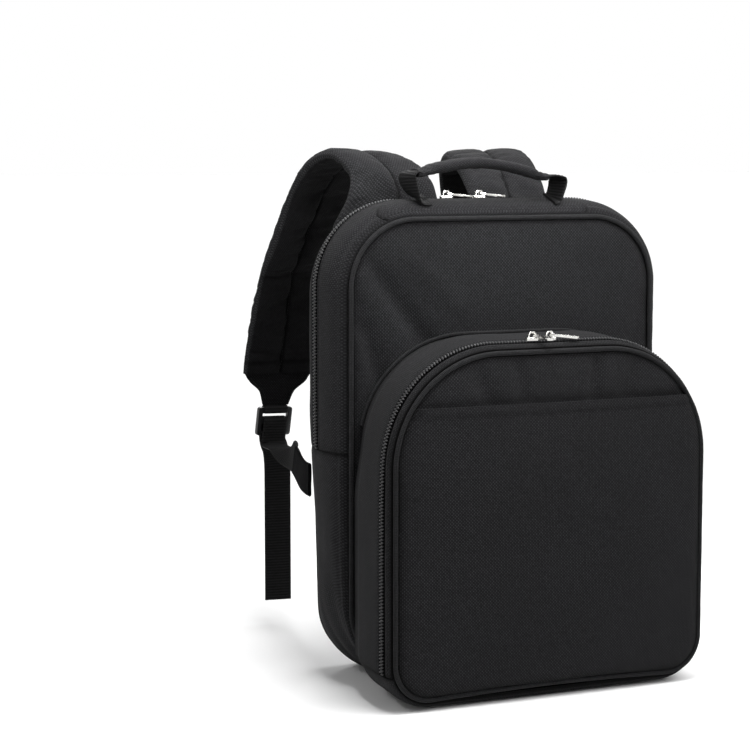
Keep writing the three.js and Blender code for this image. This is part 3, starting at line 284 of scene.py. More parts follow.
# How the gussets stand out between two pipings, as shares of the depth and of the bulge
MAIN_SECTION = {
    "depth": [0, 0.1, 0.25, 0.42, 0.6, 0.76, 0.91, 1],
    "bulge": [0, 0.55, 0.87, 0.98, 1, 0.8, 0.42, 0],
}
POCKET_SECTION = {
    "depth": [0, 0.03, 0.08, 0.18, 0.4, 0.7, 0.88, 1],
    "bulge": [0, 0.5, 0.8, 0.97, 1, 0.8, 0.15, 0],
}
# How far the pocket's bottom edge is lifted, as shares of its depth and of the bow at the front
POCKET_LIFT = {"depth": [0, 0.03, 0.08, 0.35, 1], "lift": [1, 0.1, -0.4, 0, 0]}


def main_depth(y):
    return (np.asarray(y, float) - FRONT_Y) / MAIN_DEPTH


def pocket_depth(y):
    return (np.asarray(y, float) - POCKET_FRONT_Y) / POCKET_DEPTH


def main_bulge(y):
    return MAIN_BULGE * curve(*MAIN_SECTION.values(), main_depth(y))


def pocket_bulge(y):
    return POCKET_BULGE * curve(*POCKET_SECTION.values(), pocket_depth(y))


def main_outline(y):
    depth, *columns = MAIN_CORNERS.values()
    top, bottom, drop = (np.interp(main_depth(y), depth, values) for values in columns)
    return {"half": MAIN_HALF, "top": MAIN_TOP, "top_radius": MAIN_TOP_RADIUS * top,
            "bottom": mix(MAIN_BOTTOM, MAIN_BACK_BOTTOM, drop), "bottom_radius": MAIN_BOTTOM_RADIUS * bottom}


def pocket_outline(y):
    to_rear = pocket_depth(y)
    return {"half": POCKET_HALF - POCKET_REAR_INSET * to_rear, "top": POCKET_TOP + POCKET_REAR_RISE * to_rear,
            "bottom": POCKET_BOTTOM, "top_radius": POCKET_TOP_RADIUS,
            "bottom_radius": POCKET_BOTTOM_RADIUS, "to_rear": to_rear}


def tucked(points, y):
    """Below the side seam the body narrows towards its back."""
    lowness = np.maximum(1 - points[:, 1] / SIDE_SEAM, 0) ** TUCK_POWER
    points = points.copy()
    points[:, 0] *= 1 - MAIN_TUCK * main_depth(y) * lowness / MAIN_HALF
    return points


def shape_pocket(o, points):
    """Bows the pocket's bottom edge and flares its rear edge down to the main piping."""
    lift = POCKET_BOW * np.interp(o["to_rear"], *POCKET_LIFT.values())
    points = points.copy()
    x, z = points[:, 0], points[:, 1]
    lowness = np.maximum(1 - (z - o["bottom"]) / o["bottom_radius"], 0)
    flare = POCKET_FLARE * o["to_rear"] * (1 - smooth(z, POCKET_FLARE_LOW, POCKET_FLARE_HIGH))
    points[:, 1] = z + lift * lowness * np.maximum(1 - (x / o["half"]) ** 2, 0)
    points[:, 0] = x * (1 + flare / o["half"])
    return points


def upper_main(y):
    return arch(main_outline(y), SIDE_SEAM + GAP / 2)


def lower_main(y):
    return tucked(trough(main_outline(y), SIDE_SEAM - GAP / 2), y)


def upper_pocket(y):
    o = pocket_outline(y)
    return shape_pocket(o, arch(o, POCKET_ZIP_END + GAP / 2))


def lower_pocket(y):
    o = pocket_outline(y)
    return shape_pocket(o, trough(o, POCKET_ZIP_END - GAP / 2))


# Soft dents, as shares of the half width, of the height and of the deepest dent
DENT = 5.0
PANEL_DENTS = table(
    "across up wide high deep",
    (-0.62, 0.8, 0.16, 0.16, 0.55),
    (-0.86, 0.62, 0.12, 0.22, 0.4),
    (0.6, 0.88, 0.2, 0.06, 0.2),
)
SIDE_DENTS = table(
    "across up setback wide high deep",
    (-1, 0.12, 0.22, 0.17, 0.12, 1),
    (-1, 0.24, 0.72, 0.4, 0.2, 0.75),
    (1, 0.2, 0.5, 0.3, 0.14, 0.5),
)


def panel_dent(x, z):
    return DENT * sum(d["deep"] * hump((x / MAIN_HALF - d["across"]) / d["wide"])
                      * hump((z / MAIN_TOP - d["up"]) / d["high"]) for d in PANEL_DENTS)


def side_dent(points, y):
    return DENT * sum(d["deep"] * np.maximum(points[:, 2] * d["across"], 0)
                      * hump((main_depth(y) - d["setback"]) / d["wide"])
                      * hump((points[:, 1] / MAIN_TOP - d["up"]) / d["high"]) for d in SIDE_DENTS)


def no_dent(points, y):
    return 0.0


# Slack in the cloth: smooth waves, each with its size along each axis and its height
PANEL_WAVES = (((70, 70, 70), 0.9), ((26, 40, 30), 0.35))
BAND_WAVES = (((60, 34, 60), 1.1), ((22, 18, 22), 0.35))
CORD_WAVES = ((14, 0.072), (5, 0.054))
GRIP_WAVES = (((5, 16, 16), 0.35), ((14, 20, 20), 0.4))
PAD_WAVES = (((30, 26, 26), 0.8), ((12, 9, 9), 0.25))
STRIP_WAVE = 16
SEED_STEP = (7.31, 3.17, 5.77)
# Gathers along a seam: their length, how far they reach, their height and where they are full
PANEL_GATHERS = {"length": 11, "reach": 9, "height": 1.3, "full": 4}
BAND_GATHERS = {"length": 12, "reach": 8, "height": 0.55, "full": 3}


def ripple(points, size, seed):
    """Smooth noise from -1 to 1. size is one length, or one for each axis."""
    flat = points.reshape(-1, points.shape[-1]) / np.asarray(size, float)
    offset = Vector([seed * step for step in SEED_STEP])
    values = [noise.noise(Vector(p) + offset) for p in flat]
    return np.array(values).reshape(points.shape[:-1])


def waves(points, sizes, seed):
    return sum(height * ripple(points, size, seed + k) for k, (size, height) in enumerate(sizes))


def gathers(shape, run, distance, seed):
    """Small gathers square to a seam, which fade with the distance from it."""
    spot = xyz(run / shape["length"], distance / (shape["reach"] * 3), 0.0)
    return ripple(spot, 1.0, seed) * np.exp(-np.abs(distance) / shape["reach"]) * shape["height"]


# Meshes

FLAT = np.array([1, 1, 0])


def place(name, data):
    thing = bpy.data.objects.new(name, data)
    bpy.context.scene.collection.objects.link(thing)
    return thing


def finish_mesh(name, vertices, quads, weave, sharp=50, slots=None):
    """An object of quads. weave has a place on the cloth and a painted seam shade for each quad's corners."""
    a, b, c, d = (vertices[quads[:, k]] for k in range(4))
    if (a * (np.cross(b, c) + np.cross(c, d))).sum() < 0:
        quads, weave = quads[:, ::-1], weave[:, ::-1]
    mesh = bpy.data.meshes.new(name)
    mesh.vertices.add(len(vertices))
    mesh.vertices.foreach_set("co", (vertices * MM).ravel())
    mesh.loops.add(quads.size)
    mesh.loops.foreach_set("vertex_index", quads.ravel().astype(np.int32))
    mesh.polygons.add(len(quads))
    mesh.polygons.foreach_set("loop_start", np.arange(0, quads.size, 4, dtype=np.int32))
    mesh.polygons.foreach_set("use_smooth", np.ones(len(quads), bool))
    if slots is not None:
        mesh.polygons.foreach_set("material_index", slots.astype(np.int32))
    # The weave attribute also carries the painted seam shade in its third component
    attribute = mesh.attributes.new("weave", "FLOAT_VECTOR", "CORNER")
    attribute.data.foreach_set("vector", (weave * (MM, MM, 1)).ravel())
    mesh.update(calc_edges=True)
    mesh.set_sharp_from_angle(angle=math.radians(sharp))
    return place(name, mesh)


def numbered(rows, cols):
    return np.arange(rows * cols).reshape(rows, cols)


def grid_quads(index):
    """The corners of each quad in a grid of vertex numbers."""
    corners = (index[:-1, :-1], index[1:, :-1], index[1:, 1:], index[:-1, 1:])
    return np.stack(corners, axis=-1).reshape(-1, 4)


def tube_quads(rows, cols, closed=False):
    """The quads round a tube's rings. The ends of an open tube close with quads across them."""
    index = numbered(rows, cols)
    index = np.hstack([index, index[:, :1]])
    if closed:
        return grid_quads(np.vstack([index, index[:1]]))
    k = np.arange(cols // 2 - 1)
    cap = np.stack([k, k + 1, cols - 2 - k, cols - 1 - k], axis=1)
    return np.vstack([grid_quads(index), cap, cap[:, ::-1] + (rows - 1) * cols])


def shell(name, outer, inner, weave):
    """A sheet of cloth with its thickness: two grids of points joined round their rims."""
    index = numbered(*outer.shape[:2])
    front, spots = grid_quads(index), weave.reshape(-1, 3)
    back = front[:, ::-1]
    first = np.concatenate([index[0, 1:], index[-1, :-1], index[:-1, 0], index[1:, -1]])
    second = np.concatenate([index[0, :-1], index[-1, 1:], index[1:, 0], index[:-1, -1]])
    rim = np.stack([first, second, second + index.size, first + index.size], axis=1)
    under = np.array([CLOTH, CLOTH, 0])
    rim_spots = np.stack([spots[first], spots[second], spots[second] + under, spots[first] + under], axis=1)
    vertices = np.concatenate([outer.reshape(-1, 3), inner.reshape(-1, 3)])
    quads = np.concatenate([front, back + index.size, rim])
    return finish_mesh(name, vertices, quads, np.concatenate([spots[front], spots[back], rim_spots]))


def tube(name, rings, weave, closed=False, sharp=50, slots=None):
    """Skins rings of points. weave has one more column, where it meets itself."""
    vertices = rings.reshape(-1, 3)
    quads = tube_quads(*rings.shape[:2], closed)
    spots = weave.reshape(-1, 3)[grid_quads(numbered(*weave.shape[:2]))]
    ends = vertices[quads[len(spots):]] * FLAT
    if slots is not None:
        slots = np.append(np.tile(slots, len(rings) - 1), np.zeros(len(ends)))
    return finish_mesh(name, vertices, quads, np.concatenate([spots, ends]), sharp, slots)


def bars(name, rings):
    """Many small bars in one mesh, from each bar's rings of points."""
    count, rows, cols = rings.shape[:3]
    starts = np.arange(count)[:, None, None] * rows * cols
    vertices, quads = rings.reshape(-1, 3), (tube_quads(rows, cols) + starts).reshape(-1, 4)
    return finish_mesh(name, vertices, quads, vertices[quads] * FLAT)


def bar_angles():
    angle = np.linspace(0, 2 * math.pi, BAR_SIDES, endpoint=False)[:, None]
    return np.cos(angle), np.sin(angle)


def steps_along(points):
    """From the point before each point of a path to the one after it."""
    return np.vstack([points[1:], points[-1:]]) - np.vstack([points[:1], points[:-1]])


def frames_along(points, across_hint):
    """The direction, width direction and normal at each point of a path."""
    tangent = unit(steps_along(points))
    across = unit(across_hint - tangent * (across_hint * tangent).sum(axis=1, keepdims=True))
    return tangent, across, np.cross(tangent, across)


def resample(points, spacing, extra):
    """Points at even steps along a path, with what else belongs to each point."""
    run = run_length(points)
    at = np.linspace(0, run[-1], max(int(round(run[-1] / spacing)), 2) + 1)
    return pick(at, run, points), pick(at, run, extra)


def cut_corners(points, extra, times=3):
    """Rounds the corners of a path, with what else belongs to each point."""
    joined = np.hstack([points, extra])
    for _ in range(times):
        near, far = mix(joined[:-1], joined[1:], 0.25), mix(joined[:-1], joined[1:], 0.75)
        inside = np.stack([near, far], axis=1).reshape(-1, joined.shape[1])
        joined = np.vstack([joined[:1], inside, joined[-1:]])
    return joined[:, :3], joined[:, 3:]


# Every stitch's rings, which become one mesh at the end
STITCHES = []


def stitch(points, normals, pitch=STITCH_PITCH, length=STITCH_LENGTH, radius=STITCH_RADIUS):
    """Adds a row of stitches along a line."""
    along, wide, lift = (np.array(values, float) for values in STITCH.values())
    cosine, sine = bar_angles()
    run = run_length(points)
    at = np.arange(pitch / 2, run[-1] - length, pitch)[:, None] + along * length
    centre, normal = pick(at, run, points), unit(pick(at, run, np.broadcast_to(normals, points.shape)))
    tangent = unit(centre[:, -1:] - centre[:, :1])
    side, normal = unit(np.cross(tangent, normal))[:, :, None], normal[:, :, None]
    spread = side * cosine * STITCH_SPREAD + normal * sine
    rise, reach = (radius * values[:, None, None] for values in (lift, wide))
    STITCHES.append(centre[:, :, None] + normal * rise + spread * reach)


# Materials

NOISE_RANGE = (0.3, 0.7)


class Nodes:
    """Short ways to add and link the shader nodes of a material or a world."""

    def __init__(self, owner):
        owner.use_nodes = True
        self.owner, self.tree = owner, owner.node_tree

    def make(self, kind, inputs, output=0, **settings):
        """Adds a node with its settings, feeds its inputs and gives one of its outputs."""
        node = self.tree.nodes.new("ShaderNode" + kind)
        for key, setting in settings.items():
            setattr(node, key, setting)
        for key, value in inputs.items():
            if isinstance(value, bpy.types.NodeSocket):
                self.tree.links.new(value, node.inputs[key])
            else:
                node.inputs[key].default_value = value
        return node.outputs[output]

    def math(self, operation, *values):
        return self.make("Math", dict(enumerate(values)), operation=operation)

    def product(self, first, *others):
        for value in others:
            first = self.math("MULTIPLY", first, value)
        return first

    def parts(self, vector):
        return self.make("SeparateXYZ", {0: vector}, slice(None))

    def noise(self, scale, detail=3.0):
        spot = self.make("NewGeometry", {}, "Position")
        return self.make("TexNoise", {"Vector": spot, "Scale": scale, "Detail": detail}, "Fac")

    def ranged(self, value, low_out, high_out, low_in=0.0, high_in=1.0):
        ends = {"From Min": low_in, "From Max": high_in, "To Min": low_out, "To Max": high_out}
        return self.make("MapRange", {"Value": value, **ends}, "Result")

    def uneven(self, value, low_out, high_out):
        """Noise, which seldom leaves the middle of its range, brought between two numbers."""
        return self.ranged(value, low_out, high_out, *NOISE_RANGE)

    def tint(self, color, *amounts):
        """A colour made lighter or darker by some factors."""
        return self.make("VectorMath", {0: color, "Scale": self.product(*amounts)}, operation="SCALE")

    def bump(self, height, strength, distance):
        return self.make("Bump", {"Height": height, "Strength": strength, "Distance": distance})

    def surface(self, color, roughness, **others):
        """Ends the material with its shader. Gives the material."""
        others = {key.replace("_", " "): value for key, value in others.items()}
        shader = self.make("BsdfPrincipled", {"Base Color": color, "Roughness": roughness, **others})
        output = self.tree.nodes.new("ShaderNodeOutputMaterial")
        self.tree.links.new(shader, output.inputs["Surface"])
        return self.owner


def material_nodes(name):
    nodes = Nodes(bpy.data.materials.new(name))
    nodes.tree.nodes.clear()
    return nodes


def woven(nodes, pitch):
    """A plain weave of round threads: its height, its tone times the painted seam shade, and its place along.
    """
    x, y, seam = nodes.parts(nodes.make("Attribute", {}, "Vector", attribute_name="weave"))
    u, v = nodes.math("DIVIDE", x, pitch), nodes.math("DIVIDE", y, pitch)
    across, along = nodes.math("FLOOR", u), nodes.math("FLOOR", v)
    odd = nodes.math("WRAP", nodes.math("ADD", across, along), 2.0, 0.0)
    warp_on_top = nodes.math("LESS_THAN", odd, 0.5)
    round_u, round_v = (nodes.math("SINE", nodes.product(nodes.math("FRACT", t), math.pi)) for t in (u, v))
    warp = nodes.product(round_u, nodes.ranged(round_v, 0.6, 1.0))
    weft = nodes.product(round_v, nodes.ranged(round_u, 0.35, 0.7))
    height = nodes.make("Mix", {0: warp_on_top, 2: weft, 3: warp}, data_type="FLOAT")
    crossing = nodes.make("CombineXYZ", {0: across, 1: along})
    tone = nodes.make("TexWhiteNoise", {"Vector": crossing}, "Value", noise_dimensions="3D")
    # Random thread tone and the weave's pattern, times painted shade along seams and creases
    shade = nodes.product(nodes.ranged(tone, 0.85, 1.15), nodes.ranged(warp_on_top, 0.68, 1.32),
                          nodes.ranged(seam, 1.0, SEAM_SHADE))
    return height, shade, x


def cloth_material(name, color, pitch=0.00135, gloss=0.07, sheen=0.02):
    nodes = material_nodes(name)
    height, tone, _ = woven(nodes, pitch)
    wide, fine = nodes.noise(14.0), nodes.noise(420.0, 2.0)
    # tone carries the painted seam shade. Raised threads are painted lighter and the gaps between them
    # darker: painted light and shade on the weave
    color = nodes.tint(color, nodes.ranged(height, 0.3, 1.6), tone, nodes.uneven(wide, 0.9, 1.1),
                       nodes.uneven(fine, 0.8, 1.2))
    normal = nodes.bump(nodes.math("ADD", height, nodes.ranged(fine, -0.2, 0.2)), 0.6, 0.0004)
    return nodes.surface(color, nodes.uneven(wide, 0.8, 0.9), Normal=normal, Sheen_Weight=sheen,
                         Sheen_Roughness=0.5, Specular_IOR_Level=gloss)


def webbing_material(name, color):
    """Ribbed webbing. The ribs are modelled; painted light on their crests, painted shade in their grooves
    and between threads, and the fine yarns are drawn here.
    """
    nodes = material_nodes(name)
    height, tone, along = woven(nodes, 0.0011)
    fine = nodes.noise(900.0, 2.0)
    rib = nodes.math("COSINE", nodes.product(along, 2 * math.pi / (RIB_PITCH * MM)))
    # Painted light and shade: raised threads and rib crests lighter, the grooves between them darker
    color = nodes.tint(color, nodes.ranged(height, 0.5, 1.3), nodes.ranged(tone, 0.75, 1.25),
                       nodes.ranged(rib, 0.4, 1.5, -1.0, 1.0), nodes.uneven(fine, 0.85, 1.15))
    return nodes.surface(color, nodes.ranged(fine, 0.6, 0.8), Normal=nodes.bump(height, 0.4, 0.0004),
                         Specular_IOR_Level=0.1)


def metal_material(name, color):
    nodes = material_nodes(name)
    wear = nodes.noise(600.0)
    return nodes.surface(nodes.tint(color, nodes.uneven(wear, 0.86, 1.05)), nodes.uneven(wear, 0.14, 0.3),
                         Normal=nodes.bump(nodes.noise(2500.0, 2.0), 0.04, 0.0002), Metallic=1.0)


def plastic_material(name, color, roughness):
    nodes = material_nodes(name)
    grain, wide = nodes.noise(1800.0, 2.0), nodes.noise(90.0)
    return nodes.surface(nodes.tint(color, nodes.uneven(wide, 0.88, 1.12)),
                         nodes.uneven(grain, roughness - 0.06, roughness + 0.08),
                         Normal=nodes.bump(grain, 0.12, 0.0002))


CLOTH_LOOK = cloth_material("cloth", (0.0115, 0.0115, 0.0123))
PIPING_LOOK = cloth_material("piping_cloth", (0.0112, 0.0112, 0.0119), 0.0009, 0.1)
STRAP_LOOK = cloth_material("strap_cloth", (0.0118, 0.0118, 0.0126))
TAB_LOOK = cloth_material("tab_cloth", (0.006, 0.006, 0.0064), gloss=0.03, sheen=0)
# The lining on the straps' side towards the bag: its colour is partly the cloth's own darker tone and partly
# painted shade
LINING_LOOK = cloth_material("lining_cloth", (0.0062, 0.0062, 0.0065), 0.001, 0.04, 0)
WING_LOOK = cloth_material("wing_cloth", (0.0045, 0.0045, 0.0048), 0.0008, 0.02, 0)
BACK_LOOK = cloth_material("back_cloth", (0.0115, 0.0115, 0.0122), gloss=0.06)
WEBBING_LOOK = webbing_material("webbing", (0.0062, 0.0062, 0.0064))
TAPE_LOOK = cloth_material("zip_tape", (0.0025, 0.0025, 0.0026), 0.0007, 0.02, 0)
# The coil is coloured lighter than its black nylon: painted highlight for the glints on its turns
COIL_LOOK = plastic_material("zip_coil", (0.03, 0.03, 0.031), 0.3)
THREAD_LOOK = cloth_material("thread", (0.01, 0.01, 0.0105), 0.0004, 0.1, 0)
NICKEL_LOOK = metal_material("nickel", (0.78, 0.77, 0.74))
PLASTIC_LOOK = plastic_material("moulded_plastic", (0.006, 0.006, 0.0065), 0.34)


def dress(piece, slot, *looks, nodes=()):
    """Gives a piece its materials and its body, and hides the nodes that it stands for. slot is not used."""
    for look in looks:
        piece.data.materials.append(look)
    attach(piece, "root")
    if nodes:
        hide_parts(*nodes)


# Padding: a cloth simulation that swells a modelled form between its seams

PADDED_CLOTH = {
    "quality": 5, "mass": 0.25, "tension_stiffness": 12, "compression_stiffness": 12, "shear_stiffness": 4,
    "bending_stiffness": 0.4, "tension_damping": 8, "compression_damping": 8, "use_pressure": True,
    "pin_stiffness": 1,
}


def inflate(piece, pinned, pressure, growth, cap, frames=12):
    """Swells a piece. pinned has each vertex that stays put, and no other moves further than the cap."""
    group = piece.vertex_groups.new(name="pinned")
    group.add(np.flatnonzero(pinned).tolist(), 1.0, "REPLACE")
    cloth = piece.modifiers.new("Cloth", "CLOTH")
    for key, value in PADDED_CLOTH.items():
        setattr(cloth.settings, key, value)
    cloth.settings.uniform_pressure_force = pressure
    cloth.settings.shrink_min = -growth
    cloth.settings.vertex_group_mass = group.name
    cloth.settings.effector_weights.gravity = 0
    cloth.collision_settings.use_collision = False
    cloth.point_cache.frame_start, cloth.point_cache.frame_end = 1, frames
    scene = bpy.context.scene
    for step in range(1, frames + 1):
        scene.frame_set(step)
    evaluated = piece.evaluated_get(bpy.context.evaluated_depsgraph_get())
    start, end = np.zeros((2, len(piece.data.vertices) * 3))
    piece.data.vertices.foreach_get("co", start)
    evaluated.data.vertices.foreach_get("co", end)
    piece.modifiers.remove(cloth)
    piece.vertex_groups.remove(group)
    move = (end - start).reshape(-1, 3)
    reach = np.linalg.norm(move, axis=1, keepdims=True)
    move *= np.minimum(1, cap * MM / np.maximum(reach, 1e-9))
    piece.data.vertices.foreach_set("co", start + move.ravel())
    piece.data.update()
    scene.frame_set(1)


# Panels: a grid of rows from the bottom to the top, each as wide as the outline there

def half_width(o, z):
    def rounded(radius, off):
        return o["half"] - radius + np.sqrt(np.maximum(radius ** 2 - off ** 2, 0))

    above, below = z - (o["top"] - o["top_radius"]), o["bottom"] + o["bottom_radius"] - z
    side = np.where(below > 0, rounded(o["bottom_radius"], below), o["half"])
    return np.where(above > 0, rounded(o["top_radius"], above), side)


def inset(o, margin):
    return {**o, "half": o["half"] - margin, "top": o["top"] - margin, "bottom": o["bottom"] + margin,
            "top_radius": o["top_radius"] - margin, "bottom_radius": o["bottom_radius"] - margin}


def panel_grid(o, columns, spacing, limit):
    """x and z of a grid inside an outline, each point's distance from the rim and its place along it."""
    turn, shoulder = o["bottom"] + o["bottom_radius"], o["top"] - o["top_radius"]
    side_top = limit or shoulder
    heights = [turn - o["bottom_radius"] * np.cos(np.linspace(0, math.pi / 2, ROUND_ROWS_LOW)),
               np.linspace(turn, side_top, int((side_top - turn) / spacing))[1:]]
    if not limit:
        heights.append(shoulder + o["top_radius"] * np.sin(np.linspace(0, math.pi / 2, ROUND_ROWS_HIGH))[1:])
    z = np.concatenate(heights)[:, None]
    share = np.sin(np.linspace(-1, 1, columns) * math.pi / 2 * COLUMN_CROWDING)
    x = half_width(o, z) * (share / math.sin(math.pi / 2 * COLUMN_CROWDING))
    z = np.repeat(z, columns, axis=1)
    rim = whole(o)[:, :2]
    flat = xyz(x, z).reshape(-1, 2)
    chunks = np.array_split(flat, len(flat) // SEARCH_CHUNK + 1)
    nearest = np.concatenate([((chunk[:, None] - rim) ** 2).sum(2).argmin(1) for chunk in chunks])
    distance = np.linalg.norm(flat - rim[nearest], axis=1).reshape(x.shape)
    return x, z, distance, run_length(rim)[nearest].reshape(x.shape)


def crown(o, x, z):
    """How far a sewn-in panel bows out."""
    middle = (o["top"] + o["bottom"]) / 2
    across = 1 - np.abs(x / o["half"]) ** CROWN_POWER
    up = 1 - np.abs((z - middle) / (o["top"] - middle)) ** CROWN_POWER
    return PANEL_CROWN * np.maximum(across, 0) * np.maximum(up, 0)


def main_front_y(x, z):
    return FRONT_Y - crown(main_outline(FRONT_Y), x, z) + panel_dent(x, z) - CLOTH / 2


# Long soft folds from one place to another, in shares of the half width and of the height
MAIN_FOLDS = table(
    "x z to_x to_z width depth",
    (-0.86, 0.90, -0.42, 0.68, 9, 4.8),
    (-0.94, 0.80, -0.74, 0.58, 8, 4.2),
    (-0.66, 0.93, -0.28, 0.80, 10, -1.6),
    (0.76, 0.92, 0.52, 0.70, 10, 1.6),
    (0.92, 0.80, 0.80, 0.56, 9, 1.8),
)
POCKET_FOLDS = table(
    "x z to_x to_z width depth",
    (-0.50, 0.95, -0.40, 0.85, 7, 3.0),
    (-0.24, 0.98, -0.20, 0.86, 6, 2.4),
    (0.28, 0.98, 0.24, 0.86, 6, 3.0),
    (0.54, 0.96, 0.44, 0.86, 7, 2.7),
    (0.82, 0.86, 0.66, 0.80, 7, 1.4),
)
# Where a fold begins, is full, fades and ends, as shares of its length
FOLD_START, FOLD_FULL, FOLD_FADE, FOLD_END = -0.3, 0.2, 0.75, 1.3


def folds(rows, half, height, x, z):
    total = np.zeros_like(x)
    for fold in rows:
        start = np.array([fold["x"] * half, fold["z"] * height])
        along = np.array([fold["to_x"] * half, fold["to_z"] * height]) - start
        length = np.linalg.norm(along)
        t = ((x - start[0]) * along[0] + (z - start[1]) * along[1]) / length ** 2
        off = ((x - start[0]) * along[1] - (z - start[1]) * along[0]) / length
        full = smooth(t, FOLD_START, FOLD_FULL) * (1 - smooth(t, FOLD_FADE, FOLD_END))
        total += fold["depth"] * hump(off / fold["width"]) * full
    return total


SLACK_EASE = 30


def flat_panel(name, o, y_at, thickness, columns, spacing, facing, seed, slack=1.0, shape=None, limit=None,
               crease=None):
    """A sewn-in panel. y_at gives its outer face, facing is -1 for a front and 1 for a back."""
    x, z, distance, run = panel_grid(inset(o, RIM), columns, spacing, limit)
    if shape is not None:
        shaped = shape(xyz(x, z).reshape(-1, 2))
        x, z = shaped[:, 0].reshape(x.shape), shaped[:, 1].reshape(z.shape)
    wave = waves(xyz(x, z, 0.0), PANEL_WAVES, seed) * smooth(distance, 0, SLACK_EASE)
    wave += gathers(PANEL_GATHERS, run, distance, seed + 2) * smooth(distance, 0, PANEL_GATHERS["full"])
    y = y_at(x, z) + facing * (wave * slack - VALLEY_DEPTH * np.exp(-distance / VALLEY_WIDTH))
    # Painted shade along the rim, where the panel meets its piping, and a painted shadow line at the crease
    # height if one is given
    shade = np.exp(-distance / PANEL_SEAM_REACH)
    if crease is not None:
        shade = np.maximum(shade, hump((z - crease) / CREASE_WIDTH))
    outer = xyz(x, y, z)
    return shell(name, outer, xyz(x, y - facing * thickness, z), xyz(x, z, shade)), outer, distance


# Gussets: bands of cloth that follow the outlines from one piping or zip to the next

def edge_form(kind, distance, run, seed):
    """How far a band stands off at a distance from a long edge, which is folded or sewn to a seam."""
    if kind == "fold":
        inside = max(FOLD_RADIUS - distance, 0)
        turned = math.sqrt(max(FOLD_RADIUS ** 2 - inside ** 2, 0)) - FOLD_RADIUS
        return turned - STITCH_GROOVE * hump((distance - EDGE_STITCH) / STITCH_GROOVE_WIDTH)
    if kind == "seam":
        rolls = sum(roll["height"] * hump((distance - roll["at"]) / roll["width"]) for roll in SEAM_ROLLS)
        gathered = gathers(BAND_GATHERS, run, distance, seed) * min(distance / BAND_GATHERS["full"], 1)
        return rolls - SEAM_DROP * math.exp(-distance / SEAM_DROP_REACH) + gathered
    return 0.0


def band(name, path_at, start, end, bulge, steps, dent, ends, seed, seat=None, thickness=CLOTH, slack=1.0):
    """A band from y start to y end, or to a seat. ends say how its long edges are finished."""
    run = run_length(path_at(start)[:, :2])
    # The cloth drops towards the band's ends, and painted shade darkens it there
    end_seam = np.exp(-np.minimum(run, run[-1] - run) / SEAM_REACH)
    outer, inner, weave = [], [], []
    for share in (1 - np.cos(np.linspace(0, math.pi, steps))) / 2:
        nominal = mix(start, end, share)
        path = path_at(nominal)
        y = nominal
        if seat is not None:
            y = start + (np.minimum(end, seat(path[:, 0], path[:, 1])) - start) * share
        edges = ((ends[0], nominal - start), (ends[1], end - nominal))
        offset = bulge(nominal) - dent(path, nominal) - END_DROP * end_seam
        offset = offset + sum(edge_form(kind, distance, run, seed + 3) for kind, distance in edges)
        middle = math.sin(share * math.pi) * slack
        offset += waves(xyz(path[:, 0], y, path[:, 1]), BAND_WAVES, seed) * middle
        # Painted shade near the sewn long edges, kept where it is darker than the painted shade at the ends
        sewn = [math.exp(-distance / SEAM_REACH) for kind, distance in edges if kind != "fold"]
        outer.append(stand_out(path, y, offset))
        inner.append(stand_out(path, y, offset - thickness))
        weave.append(xyz(run, nominal, np.maximum(end_seam, max(sewn, default=0.0))))
    outer, inner = np.array(outer), np.array(inner)
    outer[..., 2] = np.maximum(outer[..., 2], 0)
    inner[..., 2] = np.maximum(inner[..., 2], thickness)
    return shell(name, outer, inner, np.array(weave)), outer


BODY_MIDDLE = np.array([0, 0, 150.0])


def row_line(outer, share):
    """A line of points along a band at a share of its width, with normals."""
    rows = outer.shape[0] - 1
    at = math.acos(1 - 2 * share) / math.pi * rows
    i = min(int(at), rows - 1)
    points = mix(outer[i], outer[i + 1], at - i)
    normal = unit(np.cross(steps_along(outer[i]), outer[i + 1] - outer[i]))
    outward = (normal * (points - BODY_MIDDLE)).sum()
    return points, normal * math.copysign(1, outward)


def sew_bands(bands, bulge, dent, seed, seat=None):
    """Makes bands of cloth, with a row of stitches where the table names its y."""
    for count, (node, path_at, start, end, steps, ends, row_y) in enumerate(bands):
        piece, outer = band(node + "_cloth", path_at, start, end, bulge, steps, dent, ends, seed + 4 * count,
                            None if ends[1] == "fold" else seat)
        dress(piece, "cloth", CLOTH_LOOK, nodes=[node])
        if row_y is not None:
            stitch(*row_line(outer, (row_y - start) / (end - start)))


# Pipings: a covered cord, whose cover is cut aslant

def piping(name, node, path, y, seed, radius=CORD, closed=True, offset=0.0):
    run = run_length(path[:, :2], closed)[:, None]
    angle = (np.arange(TUBE_SIDES) + 0.5) / TUBE_SIDES * 2 * math.pi
    reach = radius * (1 + waves(xyz(path[:, 0], 0.0, path[:, 1]), CORD_WAVES, seed))[:, None]
    y, offset = (np.broadcast_to(value, len(path))[:, None] for value in (y, offset))
    rings = stand_out(path[:, None], y + reach * np.sin(angle), offset + reach * np.cos(angle))
    bias = np.arange(TUBE_SIDES + 1) / TUBE_SIDES * 2 * math.pi * radius
    weave = xyz((run + bias) * math.sqrt(0.5), (run - bias) * math.sqrt(0.5), 0.0)
    dress(tube(name, rings, weave, closed), "cloth", PIPING_LOOK, nodes=[node])


# Zippers: a woven tape and two rows of coil turns

